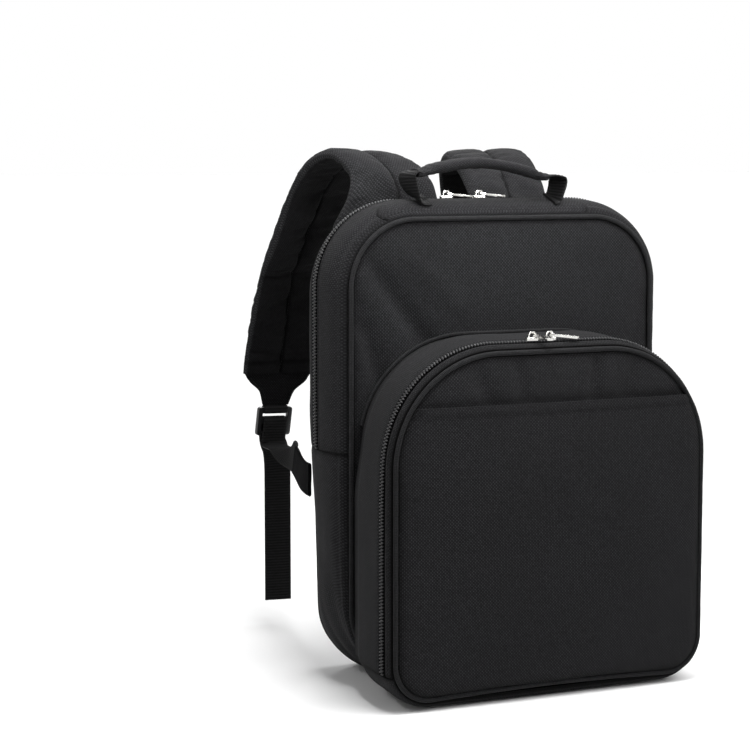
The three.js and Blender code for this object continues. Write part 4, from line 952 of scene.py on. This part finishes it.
def zipper(name, path_at, y, bulge, dent, nodes):
    outer, inner, weave = [], [], []
    base = path_at(y)
    for row_y in y + np.linspace(-ZIP_TAPE_WIDTH / 2, ZIP_TAPE_WIDTH / 2, ZIP_TAPE_ROWS):
        path = path_at(row_y)
        top = bulge(row_y) - CLOTH - GAP - dent(path, row_y)
        outer.append(stand_out(path, row_y, top))
        inner.append(stand_out(path, row_y, top - ZIP_TAPE))
        weave.append(xyz(run_length(base[:, :2]), row_y, 0.0))
    tape = shell(name + "_tape", np.array(outer), np.array(inner), np.array(weave))
    dress(tape, "zipper", TAPE_LOOK, nodes=nodes)

    seat = stand_out(base, y, bulge(y) - dent(base, y) - TOOTH_HEIGHT * COIL_SINK)
    length = run_length(seat)
    at = np.arange(TOOTH_PITCH / 2, length[-1], TOOTH_PITCH / 2)
    centre = pick(at, length, seat)
    tangent = unit(np.gradient(centre, axis=0))[:, None]
    normal = unit(pick(at, length, xyz(base[:, 2], 0.0, base[:, 3])))[:, None]
    cosine, sine = bar_angles()
    ring = tangent * cosine * TOOTH_WIDTH / 2 + normal * sine * TOOTH_HEIGHT / 2
    along, wide = (np.array(values, float)[:, None] for values in TOOTH.values())
    turn = np.where(np.arange(len(at)) % 2, 1, -1)[:, None, None] * TOOTH_LENGTH * TOOTH_SHIFT
    middle = centre[:, None] - FORWARD * (turn + along * TOOTH_LENGTH / 2)
    middle = middle + normal * TOOTH_HEIGHT * TOOTH_ARCH * (1 - along * along)
    dress(bars(name + "_coil", middle[:, :, None] + ring[:, None] * wide[:, None]), "zipper", COIL_LOOK)


def zip_slot(y):
    return y - ZIP_SLOT / 2, y + ZIP_SLOT / 2


# Main body

def build_main_body():
    front, back = main_outline(FRONT_Y), main_outline(BACK_Y)

    def front_face(x, z):
        return main_front_y(x, z) + folds(MAIN_FOLDS, MAIN_HALF, MAIN_TOP, x, z)

    panel, _, _ = flat_panel("main_front", front, front_face, CLOTH, 110, 3.0, -1, 3)
    dress(panel, "cloth", CLOTH_LOOK, nodes=["main_front_panel"])

    def tuck_back(flat):
        return tucked(flat, BACK_Y)

    def back_face(x, z):
        return BACK_Y + crown(back, x, z) + CLOTH / 2

    panel, _, distance = flat_panel("main_back", back, back_face, BACK_SHELL, 70, 4.5, 1, 11, 0.6, tuck_back)
    rim = distance.ravel() < 3
    inflate(panel, np.concatenate([rim, np.ones(len(rim))]), 1.5, 0.01, 3.0)
    dress(panel, "padded_cloth", BACK_LOOK, nodes=["main_back_panel"])

    piping("main_front_piping_cord", "main_front_piping", whole(front), FRONT_Y, 5)
    piping("main_back_piping_cord", "main_back_piping", tucked(whole(back), BACK_Y), BACK_Y, 5)
    zip_front, zip_back = zip_slot(MAIN_ZIP_Y)
    start, end = FRONT_Y + RIM, BACK_Y - RIM
    front_row, back_row = zip_front - EDGE_STITCH, zip_back + EDGE_STITCH
    sew_bands([
        ("main_gusset_upper_front", upper_main, start, zip_front, 26, ("seam", "fold"), front_row),
        ("main_gusset_upper_back", upper_main, zip_back, end, 24, ("fold", "seam"), back_row),
        ("main_gusset_lower", lower_main, start, end, 42, ("seam", "seam"), None),
    ], main_bulge, side_dent, 20)
    zipper("main_zip", upper_main, MAIN_ZIP_Y, main_bulge, side_dent, ["main_zipper"])


# Front pocket

def pocket_seat(x, z):
    return np.minimum(main_front_y(x, z), FRONT_Y - PIPING) - GAP


def build_pocket():
    o = pocket_outline(POCKET_FRONT_Y)

    def shape(flat):
        return shape_pocket(o, flat)

    def face(x, z):
        return POCKET_FRONT_Y - crown(o, x, z) - CLOTH / 2

    def front_face(x, z):
        crease = LIP_CREASE * hump((z - SLIP_TOP - 0.5) / LIP_CREASE_WIDTH)
        return face(x, z) + folds(POCKET_FOLDS, POCKET_HALF, POCKET_TOP, x, z) + crease

    def slip_face(x, z):
        """The slip layer lies off the panel, its hem thicker above a groove."""
        hem = HEM_LIFT * smooth(z, SLIP_TOP - HEM - 3, SLIP_TOP - HEM + 2)
        groove = HEM_LIFT * hump((z - SLIP_TOP + HEM) / HEM_GROOVE)
        return face(x, z) - SLIP_GAP - SLIP_SETBACK - hem + groove

    # A painted shadow line runs along the pocket's front just above the slip pocket's lip
    panel, _, _ = flat_panel("pocket_front", o, front_face, CLOTH, 90, 1.6, -1, 31, 0.8, shape,
                             crease=SLIP_TOP + LIP_GAP)
    dress(panel, "cloth", CLOTH_LOOK, nodes=["pocket_front_panel"])
    panel, outer, _ = flat_panel("pocket_slip", o, slip_face, SLIP_LAYER, 100, 1.8, -1, 37, 0.8, shape,
                                 SLIP_TOP)
    dress(panel, "cloth", CLOTH_LOOK, nodes=["pocket_slip_panel"])
    stitch(outer[np.abs(outer[:, 0, 2] - (SLIP_TOP - HEM)).argmin()], FORWARD)
    piping("pocket_piping_cord", "pocket_front_piping", shape_pocket(o, whole(o)), POCKET_FRONT_Y, 41)

    zip_front, zip_back = zip_slot(POCKET_ZIP_Y)
    start, rear = POCKET_FRONT_Y + RIM, FRONT_Y - PIPING - GAP
    front_row = (start + zip_front) / 2
    sew_bands([
        ("pocket_gusset_front", upper_pocket, start, zip_front, 9, (None, "fold"), front_row),
        ("pocket_gusset_rear", upper_pocket, zip_back, rear, 34, ("fold", None), zip_back + EDGE_STITCH),
        ("pocket_gusset_bottom", lower_pocket, start, rear, 40, (None, None), None),
    ], pocket_bulge, no_dent, 50, pocket_seat)
    zipper("pocket_zip", upper_pocket, POCKET_ZIP_Y, pocket_bulge, no_dent, ["pocket_zipper"])

    o = pocket_outline(FRONT_Y)
    welt = shape_pocket(o, arch(o, POCKET_ZIP_END))
    welt = welt[welt[:, 1] > WELT_END]
    y = main_front_y(welt[:, 0], welt[:, 1]) - WELT_RADIUS - GAP
    offset = pocket_bulge(y - WELT_RADIUS) + WELT_RADIUS + GAP
    piping("pocket_welt_cord", "pocket_rear_welt", welt, y, 61, WELT_RADIUS, False, offset)


# Webbing and flat tabs

STRIP_EDGE, EDGE_ROUNDING = [0.86, 0.94, 0.985, 1], 12
SWELL_POWER = 6


def strip(name, node, slot, look, points, across_hint, half, thickness=WEBBING, rib=RIB_DEPTH, edge=0.5,
          soft=0.0, seed=0):
    """A flat band along a path, with rounded edges, ribs from edge to edge and some soft swell."""
    _, across, normal = frames_along(points, across_hint)
    run = run_length(points)[:, None]
    half = np.broadcast_to(half, len(points))[:, None]
    rim = np.array(STRIP_EDGE)
    face = np.concatenate([-rim[:0:-1], np.linspace(-rim[0], rim[0], 9), rim[1:]])
    rounding = np.clip((1 - np.abs(face)) * EDGE_ROUNDING, 0, 1) ** edge
    u, v = np.append(face, face[::-1]), np.append(rounding, -rounding[::-1])
    spot = points[:, None] + across[:, None] * (u * half)[..., None]
    ribs = rib * np.cos(run / RIB_PITCH * 2 * math.pi) * np.minimum(np.abs(v) * 2, 1)
    height = v * (thickness / 2 + ribs)
    if soft:
        height = height + soft * ripple(spot, STRIP_WAVE, seed) * (1 - np.abs(u) ** SWELL_POWER)
    rings = spot + normal[:, None] * height[..., None]
    piece = tube(name, rings, xyz(run, np.append(u, u[0]) * half, 0.0), sharp=60)
    dress(piece, slot, look, nodes=[node])


# Carry handle

HANDLE_Y = middle_y("handle_base_strip")
STRIP_WIDTH = high("handle_base_strip")[1] - low("handle_base_strip")[1]
STRIP_LEFT, STRIP_RIGHT = low("handle_base_strip")[0], high("handle_base_strip")[0]
STRIP_LAYER, STRIP_STEPS = 1.6, 200
STRIP_ROUND, STRIP_SHORT, STRIP_SLANT = 5, 7, 18
HANDLE_WEBBING_WIDTH, HANDLE_TWIST, HANDLE_STEPS = 24, 12, 110
GRIP_WIDTH, GRIP_THICKNESS, GRIP_END_THICKNESS, GRIP_TAPER = 20, 8.5, 6.4, 3
GRIP_OVERLAP, GRIP_POWER, GRIP_ROUND, GRIP_END_WIDTH = 0.035, 0.8, 44, 0.93
GRIP_STEPS, GRIP_SIDES = 96, 40
GRIP_SEAM, GRIP_SEAM_WIDTH, GRIP_SEAM_DEPTH, GRIP_SEAM_HOLD = 1.5 * math.pi, 0.12, 0.9, 0.2
HANDLE_ARCH = 9
HANDLE_LEFT = {"foot": -71, "bulge": 12, "rise": 22, "grip": -72}
HANDLE_RIGHT = {"foot": 53, "bulge": 6, "rise": 18.5, "grip": 41}
# The webbing's loop from its foot to the grip, as shares of its bulge, its way home and its rise,
# of the bag's slope, of the turn about the upright and of the change to the grip's width
HANDLE_LOOP = table(
    "out home up lean twist grip",
    (-0.5, 0, 0, 1, 0, 0), (0, 0, 0.01, 1, 0, 0), (0.3, 0, 0.1, 0.8, 0.3, 0),
    (0.62, 0, 0.36, 0.3, 0.7, 0), (0.86, 0, 0.66, 0, 1, 0), (1, 0.08, 0.92, 0, 0.95, 0),
    (0.9, 0.45, 1.05, 0, 0.45, 0.4), (0.9, 1, 1, 0, 0, 1),
)


def build_handle():
    front, rear = HANDLE_Y - STRIP_WIDTH / 2, HANDLE_Y + STRIP_WIDTH / 2

    def trimmed(y):
        """The strip's path, whose ends are rounded in front and slant inwards to the rear."""
        path = arch(main_outline(y), SIDE_SEAM)
        path = path[path[:, 3] > 0.2]
        inside = max(STRIP_ROUND - (y - front), 0)
        cut = STRIP_SHORT + STRIP_ROUND - math.sqrt(STRIP_ROUND ** 2 - inside ** 2)
        cut += STRIP_SLANT * ((y - front) / STRIP_WIDTH) ** 2
        return pick(np.linspace(STRIP_LEFT + cut, STRIP_RIGHT - cut, STRIP_STEPS), path[:, 0], path)

    def bulge(y):
        return main_bulge(y) + GAP + STRIP_LAYER

    piece, outer = band("handle_strip_cloth", trimmed, front, rear, bulge, 16, side_dent,
                        ("fold", "fold"), 81, thickness=STRIP_LAYER, slack=0.2)
    dress(piece, "cloth", CLOTH_LOOK, nodes=["handle_base_strip"])
    for share in (0.12, 0.88):
        stitch(*row_line(outer, share))

    foot = MAIN_TOP + main_bulge(HANDLE_Y) + GAP + STRIP_LAYER + GAP + WEBBING / 2
    tilt = math.atan2(main_bulge(rear) - main_bulge(front), STRIP_WIDTH)
    share = np.linspace(0, 1, HANDLE_STEPS)
    ends = []
    for side, sign, size in (("left", -1, HANDLE_LEFT), ("right", 1, HANDLE_RIGHT)):
        rows = [{"x": mix(size["foot"] + sign * size["bulge"] * row["out"], size["grip"], row["home"]),
                 "z": foot + row["up"] * size["rise"]} for row in HANDLE_LOOP]
        points = xyz(column(rows, "x", share), HANDLE_Y, column(rows, "z", share))
        lean = tilt * column(HANDLE_LOOP, "lean", share)
        turned = math.radians(HANDLE_TWIST) * column(HANDLE_LOOP, "twist", share)
        half = mix(HANDLE_WEBBING_WIDTH, GRIP_WIDTH, column(HANDLE_LOOP, "grip", share)) / 2
        points, extra = resample(points, 0.5, xyz(-np.sin(turned), np.cos(turned), np.sin(lean), half))
        strip(f"handle_webbing_{side}_strap", f"handle_webbing_{side}", "webbing", WEBBING_LOOK, points,
              extra[:, :3], extra[:, 3])
        ends.append(points[-1])
        for shift in (-8, 8):
            stitch(points[2:16] + np.array([0, shift, WEBBING / 2 + STITCH_RADIUS]), UP, 2.4, 1.8)
    build_grip(*ends)


def build_grip(left, right):
    """The padded grip, wrapped round the webbing and sewn along its underside."""
    share = np.linspace(-GRIP_OVERLAP, 1 + GRIP_OVERLAP, GRIP_STEPS)[:, None]
    rise = np.sin(np.clip(share, 0, 1) * math.pi)
    x, z = mix(left[0], right[0], share), mix(left[2], right[2], share) + rise * HANDLE_ARCH
    full = mix(GRIP_END_THICKNESS, GRIP_THICKNESS, np.minimum(rise * GRIP_TAPER, 1)) / GRIP_THICKNESS
    angle = (np.arange(GRIP_SIDES) + 0.5) / GRIP_SIDES * 2 * math.pi
    cosine, sine = np.cos(angle), np.sin(angle)
    across, height = (np.sign(v) * np.abs(v) ** GRIP_POWER / 2 for v in (cosine, sine))
    across = across * GRIP_WIDTH * mix(GRIP_END_WIDTH, 1, full)
    rings = xyz(x, HANDLE_Y + across, z + height * GRIP_THICKNESS * full)
    rings += waves(rings, GRIP_WAVES, 91)[..., None] * xyz(0.0, cosine * 0.6, sine)
    rings[..., 2] += GRIP_SEAM_DEPTH * hump((angle - GRIP_SEAM) / GRIP_SEAM_WIDTH)
    grip = tube("handle_grip_pad", rings, xyz(x - x[0], np.linspace(0, GRIP_ROUND, GRIP_SIDES + 1), 0.0))
    pins = np.zeros((GRIP_STEPS, GRIP_SIDES))
    pins[:3] = pins[-3:] = 1
    pins[:, np.abs(angle - GRIP_SEAM) < GRIP_SEAM_HOLD] = 1
    inflate(grip, pins.ravel(), 3.0, 0.03, 1.2)
    dress(grip, "padded_cloth", STRAP_LOOK, nodes=["handle_grip"])
    for end in (4, GRIP_STEPS - 5):
        stitch(rings[end][:GRIP_SIDES // 2], UP, 2.6, 1.9)


# Shoulder straps

STRAP_WIDTH, STRAP_THICKNESS = 75, 11
ROOT_CLEARANCE = 1.1
TAB_LENGTH, TAB_THICKNESS, TAB_BEND, TAB_TURN = 30, 4, 6, 0.4
TAB_WIDTHS = {"along": [0, 0.3, 0.6, 1], "width": [0.98, 0.8, 0.5, 0.37]}
WING_LOW, WING_HIGH, WING_THICKNESS, WING_BEND = 149, 178, 3, 0.35
BUCKLE_BAR, BUCKLE_SLOT, BUCKLE_THICKNESS, BUCKLE_PLAY = 4.2, 7, 4, 0.6
BUCKLE_HEIGHT = 3 * BUCKLE_BAR + 2 * BUCKLE_SLOT
FOOT_DROP, FOOT_SPREAD, ENTRY_DROP, EXIT_DROP = 9, 2, 2, 3
TAIL_BACK, TAIL_DROP = 3, 14
LEAD_SHARE, LEAD_EASE, LEAD_TURN = 0.85, 0.4, 0.6
# The crease entry gives shares along the padding where painted shadow lines cross the strap
LEFT_STRAP = {
    "root": 60, "spread": 50, "reach": 163, "rise": 48.5, "drop": 148, "hang": (0.07, 0.12), "flare": 25,
    "wing": (-11, 58, 8), "twist": 0.1, "sag": 0, "tail_inward": 8.5, "tail_turn": -8, "tail_length": 141,
    "crease_shadows": (0.714, 0.96),
}
RIGHT_STRAP = {
    "root": 47, "spread": 91, "reach": 118, "rise": 50, "drop": 226, "hang": (0, -0.15), "flare": 0,
    "wing": (-12, 28, -34), "twist": 0.85, "sag": 12, "tail_inward": 2, "tail_turn": 0, "tail_length": 70,
    "crease_shadows": (0.58, 0.96),
}
# Strap paths from the root to the end of the padding: shares of the spread, reach and height, then
# the turn about the upright and the roll in degrees, and how full the padding is
LEFT_PATH = table(
    "out back up turn roll fill",
    (0, 0, 0.753, 0, 0, 0.4), (0.035, 0.035, 0.86, 4, 0, 0.9), (0.129, 0.129, 0.95, 8, 2, 1),
    (0.269, 0.269, 1, 12, 4, 1), (0.409, 0.409, 0.987, 16, 3, 1), (0.532, 0.532, 0.93, 20, 1, 1),
    (0.632, 0.632, 0.84, 22, 0, 1), (0.715, 0.708, 0.735, 24, 0, 1), (0.79, 0.772, 0.63, 25, 0, 1),
    (0.86, 0.83, 0.535, 24, 0, 0.9), (0.9, 0.865, 0.47, 24, 0, 0.55), (0.93, 0.91, 0.34, 19, 0, 1),
    (0.955, 0.94, 0.213, 15, 0, 1), (0.98, 0.965, 0.107, 12, 0, 1), (1, 0.98, 0, 10, 0, 0.8),
)
RIGHT_PATH = table(
    "out back up turn roll fill",
    (0, 0, 0.819, 0, 0, 0.4), (0.011, 0.12, 0.895, 0, 1, 0.9), (0.044, 0.34, 0.967, 1, 2, 1),
    (0.11, 0.63, 1, 3, 2, 1), (0.187, 0.83, 0.967, 5, 1, 1), (0.275, 0.94, 0.884, 6, 0, 1),
    (0.363, 0.99, 0.801, 6, 0, 1), (0.473, 1, 0.674, 5, 0, 0.9), (0.593, 0.98, 0.547, 4, 0, 1),
    (0.703, 0.94, 0.417, 3, 0, 1), (0.813, 0.865, 0.272, 2, 0, 1), (0.912, 0.763, 0.134, 1, 0, 1),
    (1, 0.627, 0, 0, 0, 0.8),
)
# Half of the padding's section: place across and share of the thickness, with the seam in the middle
PAD_HALF = [(-1, 0.1), (-0.985, 0.35), (-0.95, 0.66), (-0.89, 0.88), (-0.78, 0.98), (-0.62, 1), (-0.44, 1),
            (-0.27, 0.98), (-0.15, 0.93), (-0.07, 0.82), (-0.028, 0.66), (0, 0.58)]
PAD_ROWS = 168
# Width of the painted shade along the centre seam, where the lining's edge begins, and width and darkness of
# each painted crease shadow
PAD_SEAM, PAD_EDGE, PAD_CREASE, PAD_CREASE_SHADE = 0.035, 0.97, 0.006, 0.8
PAD_EDGE_HOLD, PAD_SEAM_HOLD = 0.975, 0.02
ROOT_ROWS = PAD_ROWS // 24
FLARE_END, FLARE_SLUMP = 0.15, 0.45


def bezier(a, b, c, d, share):
    t = share[:, None]
    return a * (1 - t) ** 3 + 3 * b * t * (1 - t) ** 2 + 3 * c * t ** 2 * (1 - t) + d * t ** 3


class StrapLine:
    """Where one strap runs: its padding, its hanging end and its buckle."""

    def __init__(self, sign, sizes, path):
        share = np.linspace(0, 1, PAD_ROWS)
        out, back, up, turn, roll, fill = (column(path, key, share) for key in path[0])
        points = xyz(sign * (sizes["root"] + out * sizes["spread"]), BACK_Y + back * sizes["reach"],
                     MAIN_TOP - sizes["drop"] + up * (sizes["drop"] + sizes["rise"]))
        off = unit(points[ROOT_ROWS] - points[0])
        root = np.array([points[0][0], BACK_Y, MAIN_TOP]) + off * (PIPING + ROOT_CLEARANCE)
        points[:ROOT_ROWS] = mix(root, points[ROOT_ROWS], (np.arange(ROOT_ROWS) / ROOT_ROWS)[:, None])
        turn, roll = np.radians(turn), np.radians(roll)
        hint = xyz(np.cos(turn), -sign * np.sin(turn), sign * np.sin(roll))
        self.sign, self.points, self.sizes = sign, points, sizes
        self.flare = sizes["flare"] * (1 - smooth(share, 0, FLARE_END))
        self.tangent, self.across, self.normal = frames_along(points, hint)
        self.thickness = STRAP_THICKNESS * fill
        out, back = sizes["hang"]
        self.down = unit(np.array([sign * out, back, -1.0]))
        self.level = unit(self.across[-1] - self.down * self.across[-1].dot(self.down))
        self.face = unit(np.cross(self.down, self.level))
        self.outward = self.level * sign
        to_buckle = np.array([TAB_LENGTH + GAP + WEBBING + GAP + BUCKLE_HEIGHT / 2])
        self.buckle = self.hanging(to_buckle)[0]

    def hanging(self, distance):
        """Places below the padding's end, at distances along the tab."""
        near, far = np.minimum(distance, TAB_BEND), np.maximum(distance - TAB_BEND, 0)
        return self.points[-1] + self.tangent[-1] * (GAP + near)[:, None] + self.down * far[:, None]

    def at_buckle(self, up, out):
        return self.buckle - self.down * up + self.face * out


def build_pad(side, strap):
    left = PAD_HALF + [(-u, t) for u, t in PAD_HALF[-2::-1]]
    places, lifts = np.array(left + [(u, -t) for u, t in reversed(left)]).T
    outer_side = strap.flare[:, None] * np.maximum(places * strap.sign, 0)
    spread, slump = places * STRAP_WIDTH / 2 + outer_side * strap.sign, outer_side * FLARE_SLUMP
    height = lifts * strap.thickness[:, None] / 2
    rings = (strap.points[:, None] + strap.across[:, None] * spread[..., None] - UP * slump[..., None]
             + strap.normal[:, None] * height[..., None])
    wave = waves(rings, PAD_WAVES, 101 + strap.sign) * np.sign(lifts)
    rings += wave[..., None] * strap.normal[:, None]
    closed = np.append(places, places[0])
    around = np.abs(np.diff(closed, prepend=places[0])).cumsum() * STRAP_WIDTH / 2
    # Painted shade: a dark line along the centre seam and painted shadows across the strap where it creases
    shade = hump(closed / PAD_SEAM)
    for crease in strap.sizes["crease_shadows"]:
        along = (np.linspace(0, 1, PAD_ROWS) - crease) / PAD_CREASE
        shade = np.maximum(shade, PAD_CREASE_SHADE * hump(along)[:, None])
    outer_first = strap.normal[PAD_ROWS // 2][1] > 0
    on_outside = (np.arange(len(places)) < len(left)) == outer_first
    slots = np.where(on_outside | (np.abs(places) > PAD_EDGE), 0, 1)
    weave = xyz(run_length(strap.points)[:, None], around, shade)
    pad = tube(f"strap_pad_{side}_cushion", rings, weave, slots=slots)
    pins = np.zeros(rings.shape[:2])
    pins[:, (np.abs(places) > PAD_EDGE_HOLD) | (np.abs(places) < PAD_SEAM_HOLD)] = 1
    pins[:2] = pins[-2:] = 1
    inflate(pad, pins.ravel(), 3.5, 0.035, 2.5, 16)
    dress(pad, "padded_cloth", STRAP_LOOK, LINING_LOOK, nodes=[f"strap_pad_{side}"])
    lift = strap.thickness[:, None] * PAD_HALF[-1][1] / 2 + STITCH_RADIUS / 2
    for normal in (strap.normal, -strap.normal):
        stitch((strap.points + normal * lift)[2:-2], normal[2:-2], 3.0, 2.3, 0.2)


def build_tab(side, strap):
    """The end tab, folded from the strap's own cloth, narrows to the buckle."""
    share = np.linspace(0, 1, 50)
    points = strap.hanging(mix(-1.0, TAB_LENGTH, share))
    across = unit(mix(strap.across[-1], strap.level, smooth(share, 0, TAB_TURN)[:, None]))
    half = STRAP_WIDTH / 2 * curve(*TAB_WIDTHS.values(), share)
    strip(f"strap_tab_{side}", f"strap_end_tab_{side}", "padded_cloth", TAB_LOOK, points, across, half,
          TAB_THICKNESS, 0, 0.6, 0.7, 111)
    inward = across * (half - EDGE_STITCH)[:, None]
    for normal in (strap.face, -strap.face):
        lift = normal * (TAB_THICKNESS / 2 + STITCH_RADIUS)
        for edge in (-1, 1):
            stitch((points + inward * edge + lift)[6:-4], normal, 3.0, 2.3)


def build_loop(side, strap):
    """Webbing round the buckle's top bar."""
    wrap = GAP + WEBBING / 2
    bar = (BUCKLE_HEIGHT - BUCKLE_BAR) / 2
    up, out = BUCKLE_BAR / 2 + wrap, BUCKLE_THICKNESS / 2 + wrap
    turns = [(-1, -1), (-1, 1), (1, 1), (1, -1), (-1, -1)]
    loop = np.array([strap.at_buckle(bar + u * up, v * out) for u, v in turns])
    points, hints = cut_corners(loop, np.tile(strap.level, (len(loop), 1)))
    points, hints = resample(points, 0.5, hints)
    strip(f"strap_loop_{side}_webbing", f"strap_loop_{side}", "webbing", WEBBING_LOOK, points, hints,
          WEBBING_WIDTH / 2)


def build_wing(side, strap):
    """The wing stands out of the back side seam. Gives its end, its direction and its width there."""
    seat = np.array([strap.sign * (MAIN_HALF + PIPING + GAP + WING_THICKNESS / 2), BACK_Y,
                     (WING_LOW + WING_HIGH) / 2])
    clear = seat + np.array([0, PIPING + WING_THICKNESS / 2, 0])
    out, back, up = strap.sizes["wing"]
    end = clear + np.array([strap.sign * out, back, up])
    aim = unit(end - clear)
    bend = np.linalg.norm(end - seat) * WING_BEND
    share = np.linspace(0, 1, 64)
    points = bezier(seat, seat - FORWARD * bend, end - aim * bend, end, share)
    across = unit(mix(-UP, strap.outward, strap.sizes["twist"] * share[:, None]))
    half = mix((WING_HIGH - WING_LOW) / 2, WEBBING_WIDTH / 2, share)
    strip(f"strap_wing_{side}_cloth", f"strap_wing_{side}", "cloth", WING_LOOK, points, across, half,
          WING_THICKNESS, 0, 0.6, 0.6, 121)
    return end, aim, across[-1]


def build_webbing(side, strap, wing_end, aim, wing_across):
    """The adjusting webbing, through the buckle and down as the free tail."""
    sizes, half_height = strap.sizes, BUCKLE_HEIGHT / 2
    face = np.sign(strap.face[1])
    lift = BUCKLE_THICKNESS / 2 + BUCKLE_PLAY + WEBBING / 2
    over = BUCKLE_BAR / 2 + BUCKLE_PLAY + WEBBING / 2
    through = np.array([strap.at_buckle(up, face * out) for up, out in (
        (-half_height - FOOT_DROP, -lift - FOOT_SPREAD), (-half_height - ENTRY_DROP, -lift),
        (-half_height / 2, -lift), (0, -lift), (BUCKLE_BAR / 2, -lift), (over, -BUCKLE_THICKNESS / 2),
        (over, BUCKLE_THICKNESS / 2), (BUCKLE_BAR / 2, lift), (0, lift), (-half_height - EXIT_DROP, lift),
    )])
    foot, leave = through[0], through[-1]
    start = wing_end + aim * (WING_THICKNESS + GAP)
    ease = np.linalg.norm(foot - start) * LEAD_EASE
    low_turn = mix(foot, start, LEAD_EASE) - UP * sizes["sag"]
    shares = np.linspace(0, LEAD_SHARE, 9)
    lead = bezier(start, start + aim * ease, low_turn, foot, shares)
    lead_across = unit(mix(wing_across, strap.outward, smooth(shares, 0, LEAD_TURN)[:, None]))
    tail_top = leave + np.array([-strap.sign * sizes["tail_inward"], TAIL_BACK, -TAIL_DROP])
    turn = math.radians(sizes["tail_turn"])
    tail_across = np.array([strap.sign * math.cos(turn), -math.sin(turn), 0])
    tail = [tail_top - UP * drop for drop in np.linspace(0, sizes["tail_length"], 4)]
    route = np.vstack([[wing_end + aim * GAP], lead, through, tail])
    hints = np.vstack([[wing_across], lead_across, np.tile(strap.outward, (len(through), 1)),
                       np.tile(tail_across, (len(tail), 1))])
    route, hints = cut_corners(route, hints)
    route, hints = resample(route, 0.6, hints)
    strip(f"strap_webbing_{side}_run", f"strap_webbing_{side}", "webbing", WEBBING_LOOK, route, hints,
          WEBBING_WIDTH / 2)


def build_strap(side, sign, sizes, path):
    strap = StrapLine(sign, sizes, path)
    build_pad(side, strap)
    build_tab(side, strap)
    build_loop(side, strap)
    build_webbing(side, strap, *build_wing(side, strap))


# Rigid fittings keep their solids, with their edges rounded

METAL_EDGE, PLASTIC_EDGE, PULL_SWELL = 0.35, 0.7, 0.55


def round_fittings():
    for name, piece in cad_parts.items():
        if "_zip_slider_" in name or "_zip_pull_" in name:
            width, look = METAL_EDGE, NICKEL_LOOK
        elif "strap_buckle_" in name:
            width, look = PLASTIC_EDGE, PLASTIC_LOOK
        else:
            continue
        piece.modifiers.new("Weld", "WELD").merge_threshold = 0.00001
        if "_zip_pull_" in name:
            swell = piece.modifiers.new("Swell", "DISPLACE")
            swell.mid_level, swell.strength = 0, PULL_SWELL * MM
        bevel = piece.modifiers.new("Bevel", "BEVEL")
        bevel.width = width * MM
        bevel.segments = 3
        bevel.limit_method = "ANGLE"
        bevel.harden_normals = False
        for polygon in piece.data.polygons:
            polygon.use_smooth = True
        piece.data.set_sharp_from_angle(angle=math.radians(30))
        piece.data.materials.clear()
        piece.data.materials.append(look)


# Stage: a white sweep, soft light and the camera

HORIZON_GLOW, OVERHEAD_GLOW = 1.0, 0.25
GLOW_EDGES = (0.12, 0.26)
SUN = {"energy": 3.1, "angle": 72, "turn": (30, 0, 70)}
LAMP_SIZE = (0.4, 0.3)
# Lamps in metres: where they are, where they aim, their power in watts and their spread in degrees
LAMPS = table(
    "name place target power spread",
    ("top", (-0.05, -0.2, 0.98), (0, 0.02, 0.4), 2, 90),
    ("left", (-0.9, 0.15, 0.95), (-0.16, 0.02, 0.4), 0.28, 45),
    ("front", (0.0, -0.85, 0.75), (-0.02, -0.03, 0.5), 1.15, 45),
    ("back", (0.2, 0.95, 0.85), (0, 0.1, 0.33), 0.35, 45),
)
CAMERA_PLACE = (-0.8003, -1.5712, 0.44425)
CAMERA_PITCH_DOWN, CAMERA_AZIMUTH = 6.277, -23.983
CAMERA_LENS, CAMERA_SENSOR = 99.45, 36


def build_world():
    """White all round at eye level and dimmer overhead, so that the lamps shape the cloth."""
    world = bpy.context.scene.world = bpy.data.worlds.new("studio")
    nodes = Nodes(world)
    height = nodes.parts(nodes.make("TexCoord", {}, "Generated"))[2]
    background = nodes.tree.nodes["Background"]
    background.inputs["Color"].default_value = (1, 1, 1, 1)
    strength = nodes.ranged(height, HORIZON_GLOW, OVERHEAD_GLOW, *GLOW_EDGES)
    nodes.tree.links.new(strength, background.inputs["Strength"])


def build_stage():
    bpy.ops.mesh.primitive_plane_add(size=60, location=(0, 0, 0))
    floor = bpy.context.object
    floor.name = "floor"
    floor.data.materials.append(material_nodes("floor_white").surface((0.95, 0.95, 0.95, 1), 0.9))
    build_world()
    sun = bpy.data.lights.new("key", "SUN")
    sun.energy, sun.angle = SUN["energy"], math.radians(SUN["angle"])
    place("key", sun).rotation_euler = np.radians(SUN["turn"])
    for row in LAMPS:
        data = bpy.data.lights.new(row["name"], "AREA")
        data.shape = "RECTANGLE"
        data.size, data.size_y = LAMP_SIZE
        data.energy, data.spread = row["power"], math.radians(row["spread"])
        lamp = place(row["name"], data)
        lamp.location = row["place"]
        lamp.visible_camera = False
        aim = Vector(row["target"]) - Vector(row["place"])
        lamp.rotation_euler = aim.to_track_quat("-Z", "Y").to_euler()
    bpy.context.scene.view_settings.view_transform = "Standard"


def build_camera():
    data = bpy.data.cameras.new("camera")
    data.lens, data.sensor_width = CAMERA_LENS, CAMERA_SENSOR
    data.clip_start, data.clip_end = 0.05, 60
    camera = bpy.context.scene.camera = place("camera", data)
    camera.location = CAMERA_PLACE
    camera.rotation_euler = np.radians((90 - CAMERA_PITCH_DOWN, 0, CAMERA_AZIMUTH))


build_main_body()
build_pocket()
build_handle()
build_strap("left", -1, LEFT_STRAP, LEFT_PATH)
build_strap("right", 1, RIGHT_STRAP, RIGHT_PATH)
dress(bars("stitching", np.concatenate(STITCHES)), "cloth", THREAD_LOOK)
round_fittings()
build_stage()
build_camera()
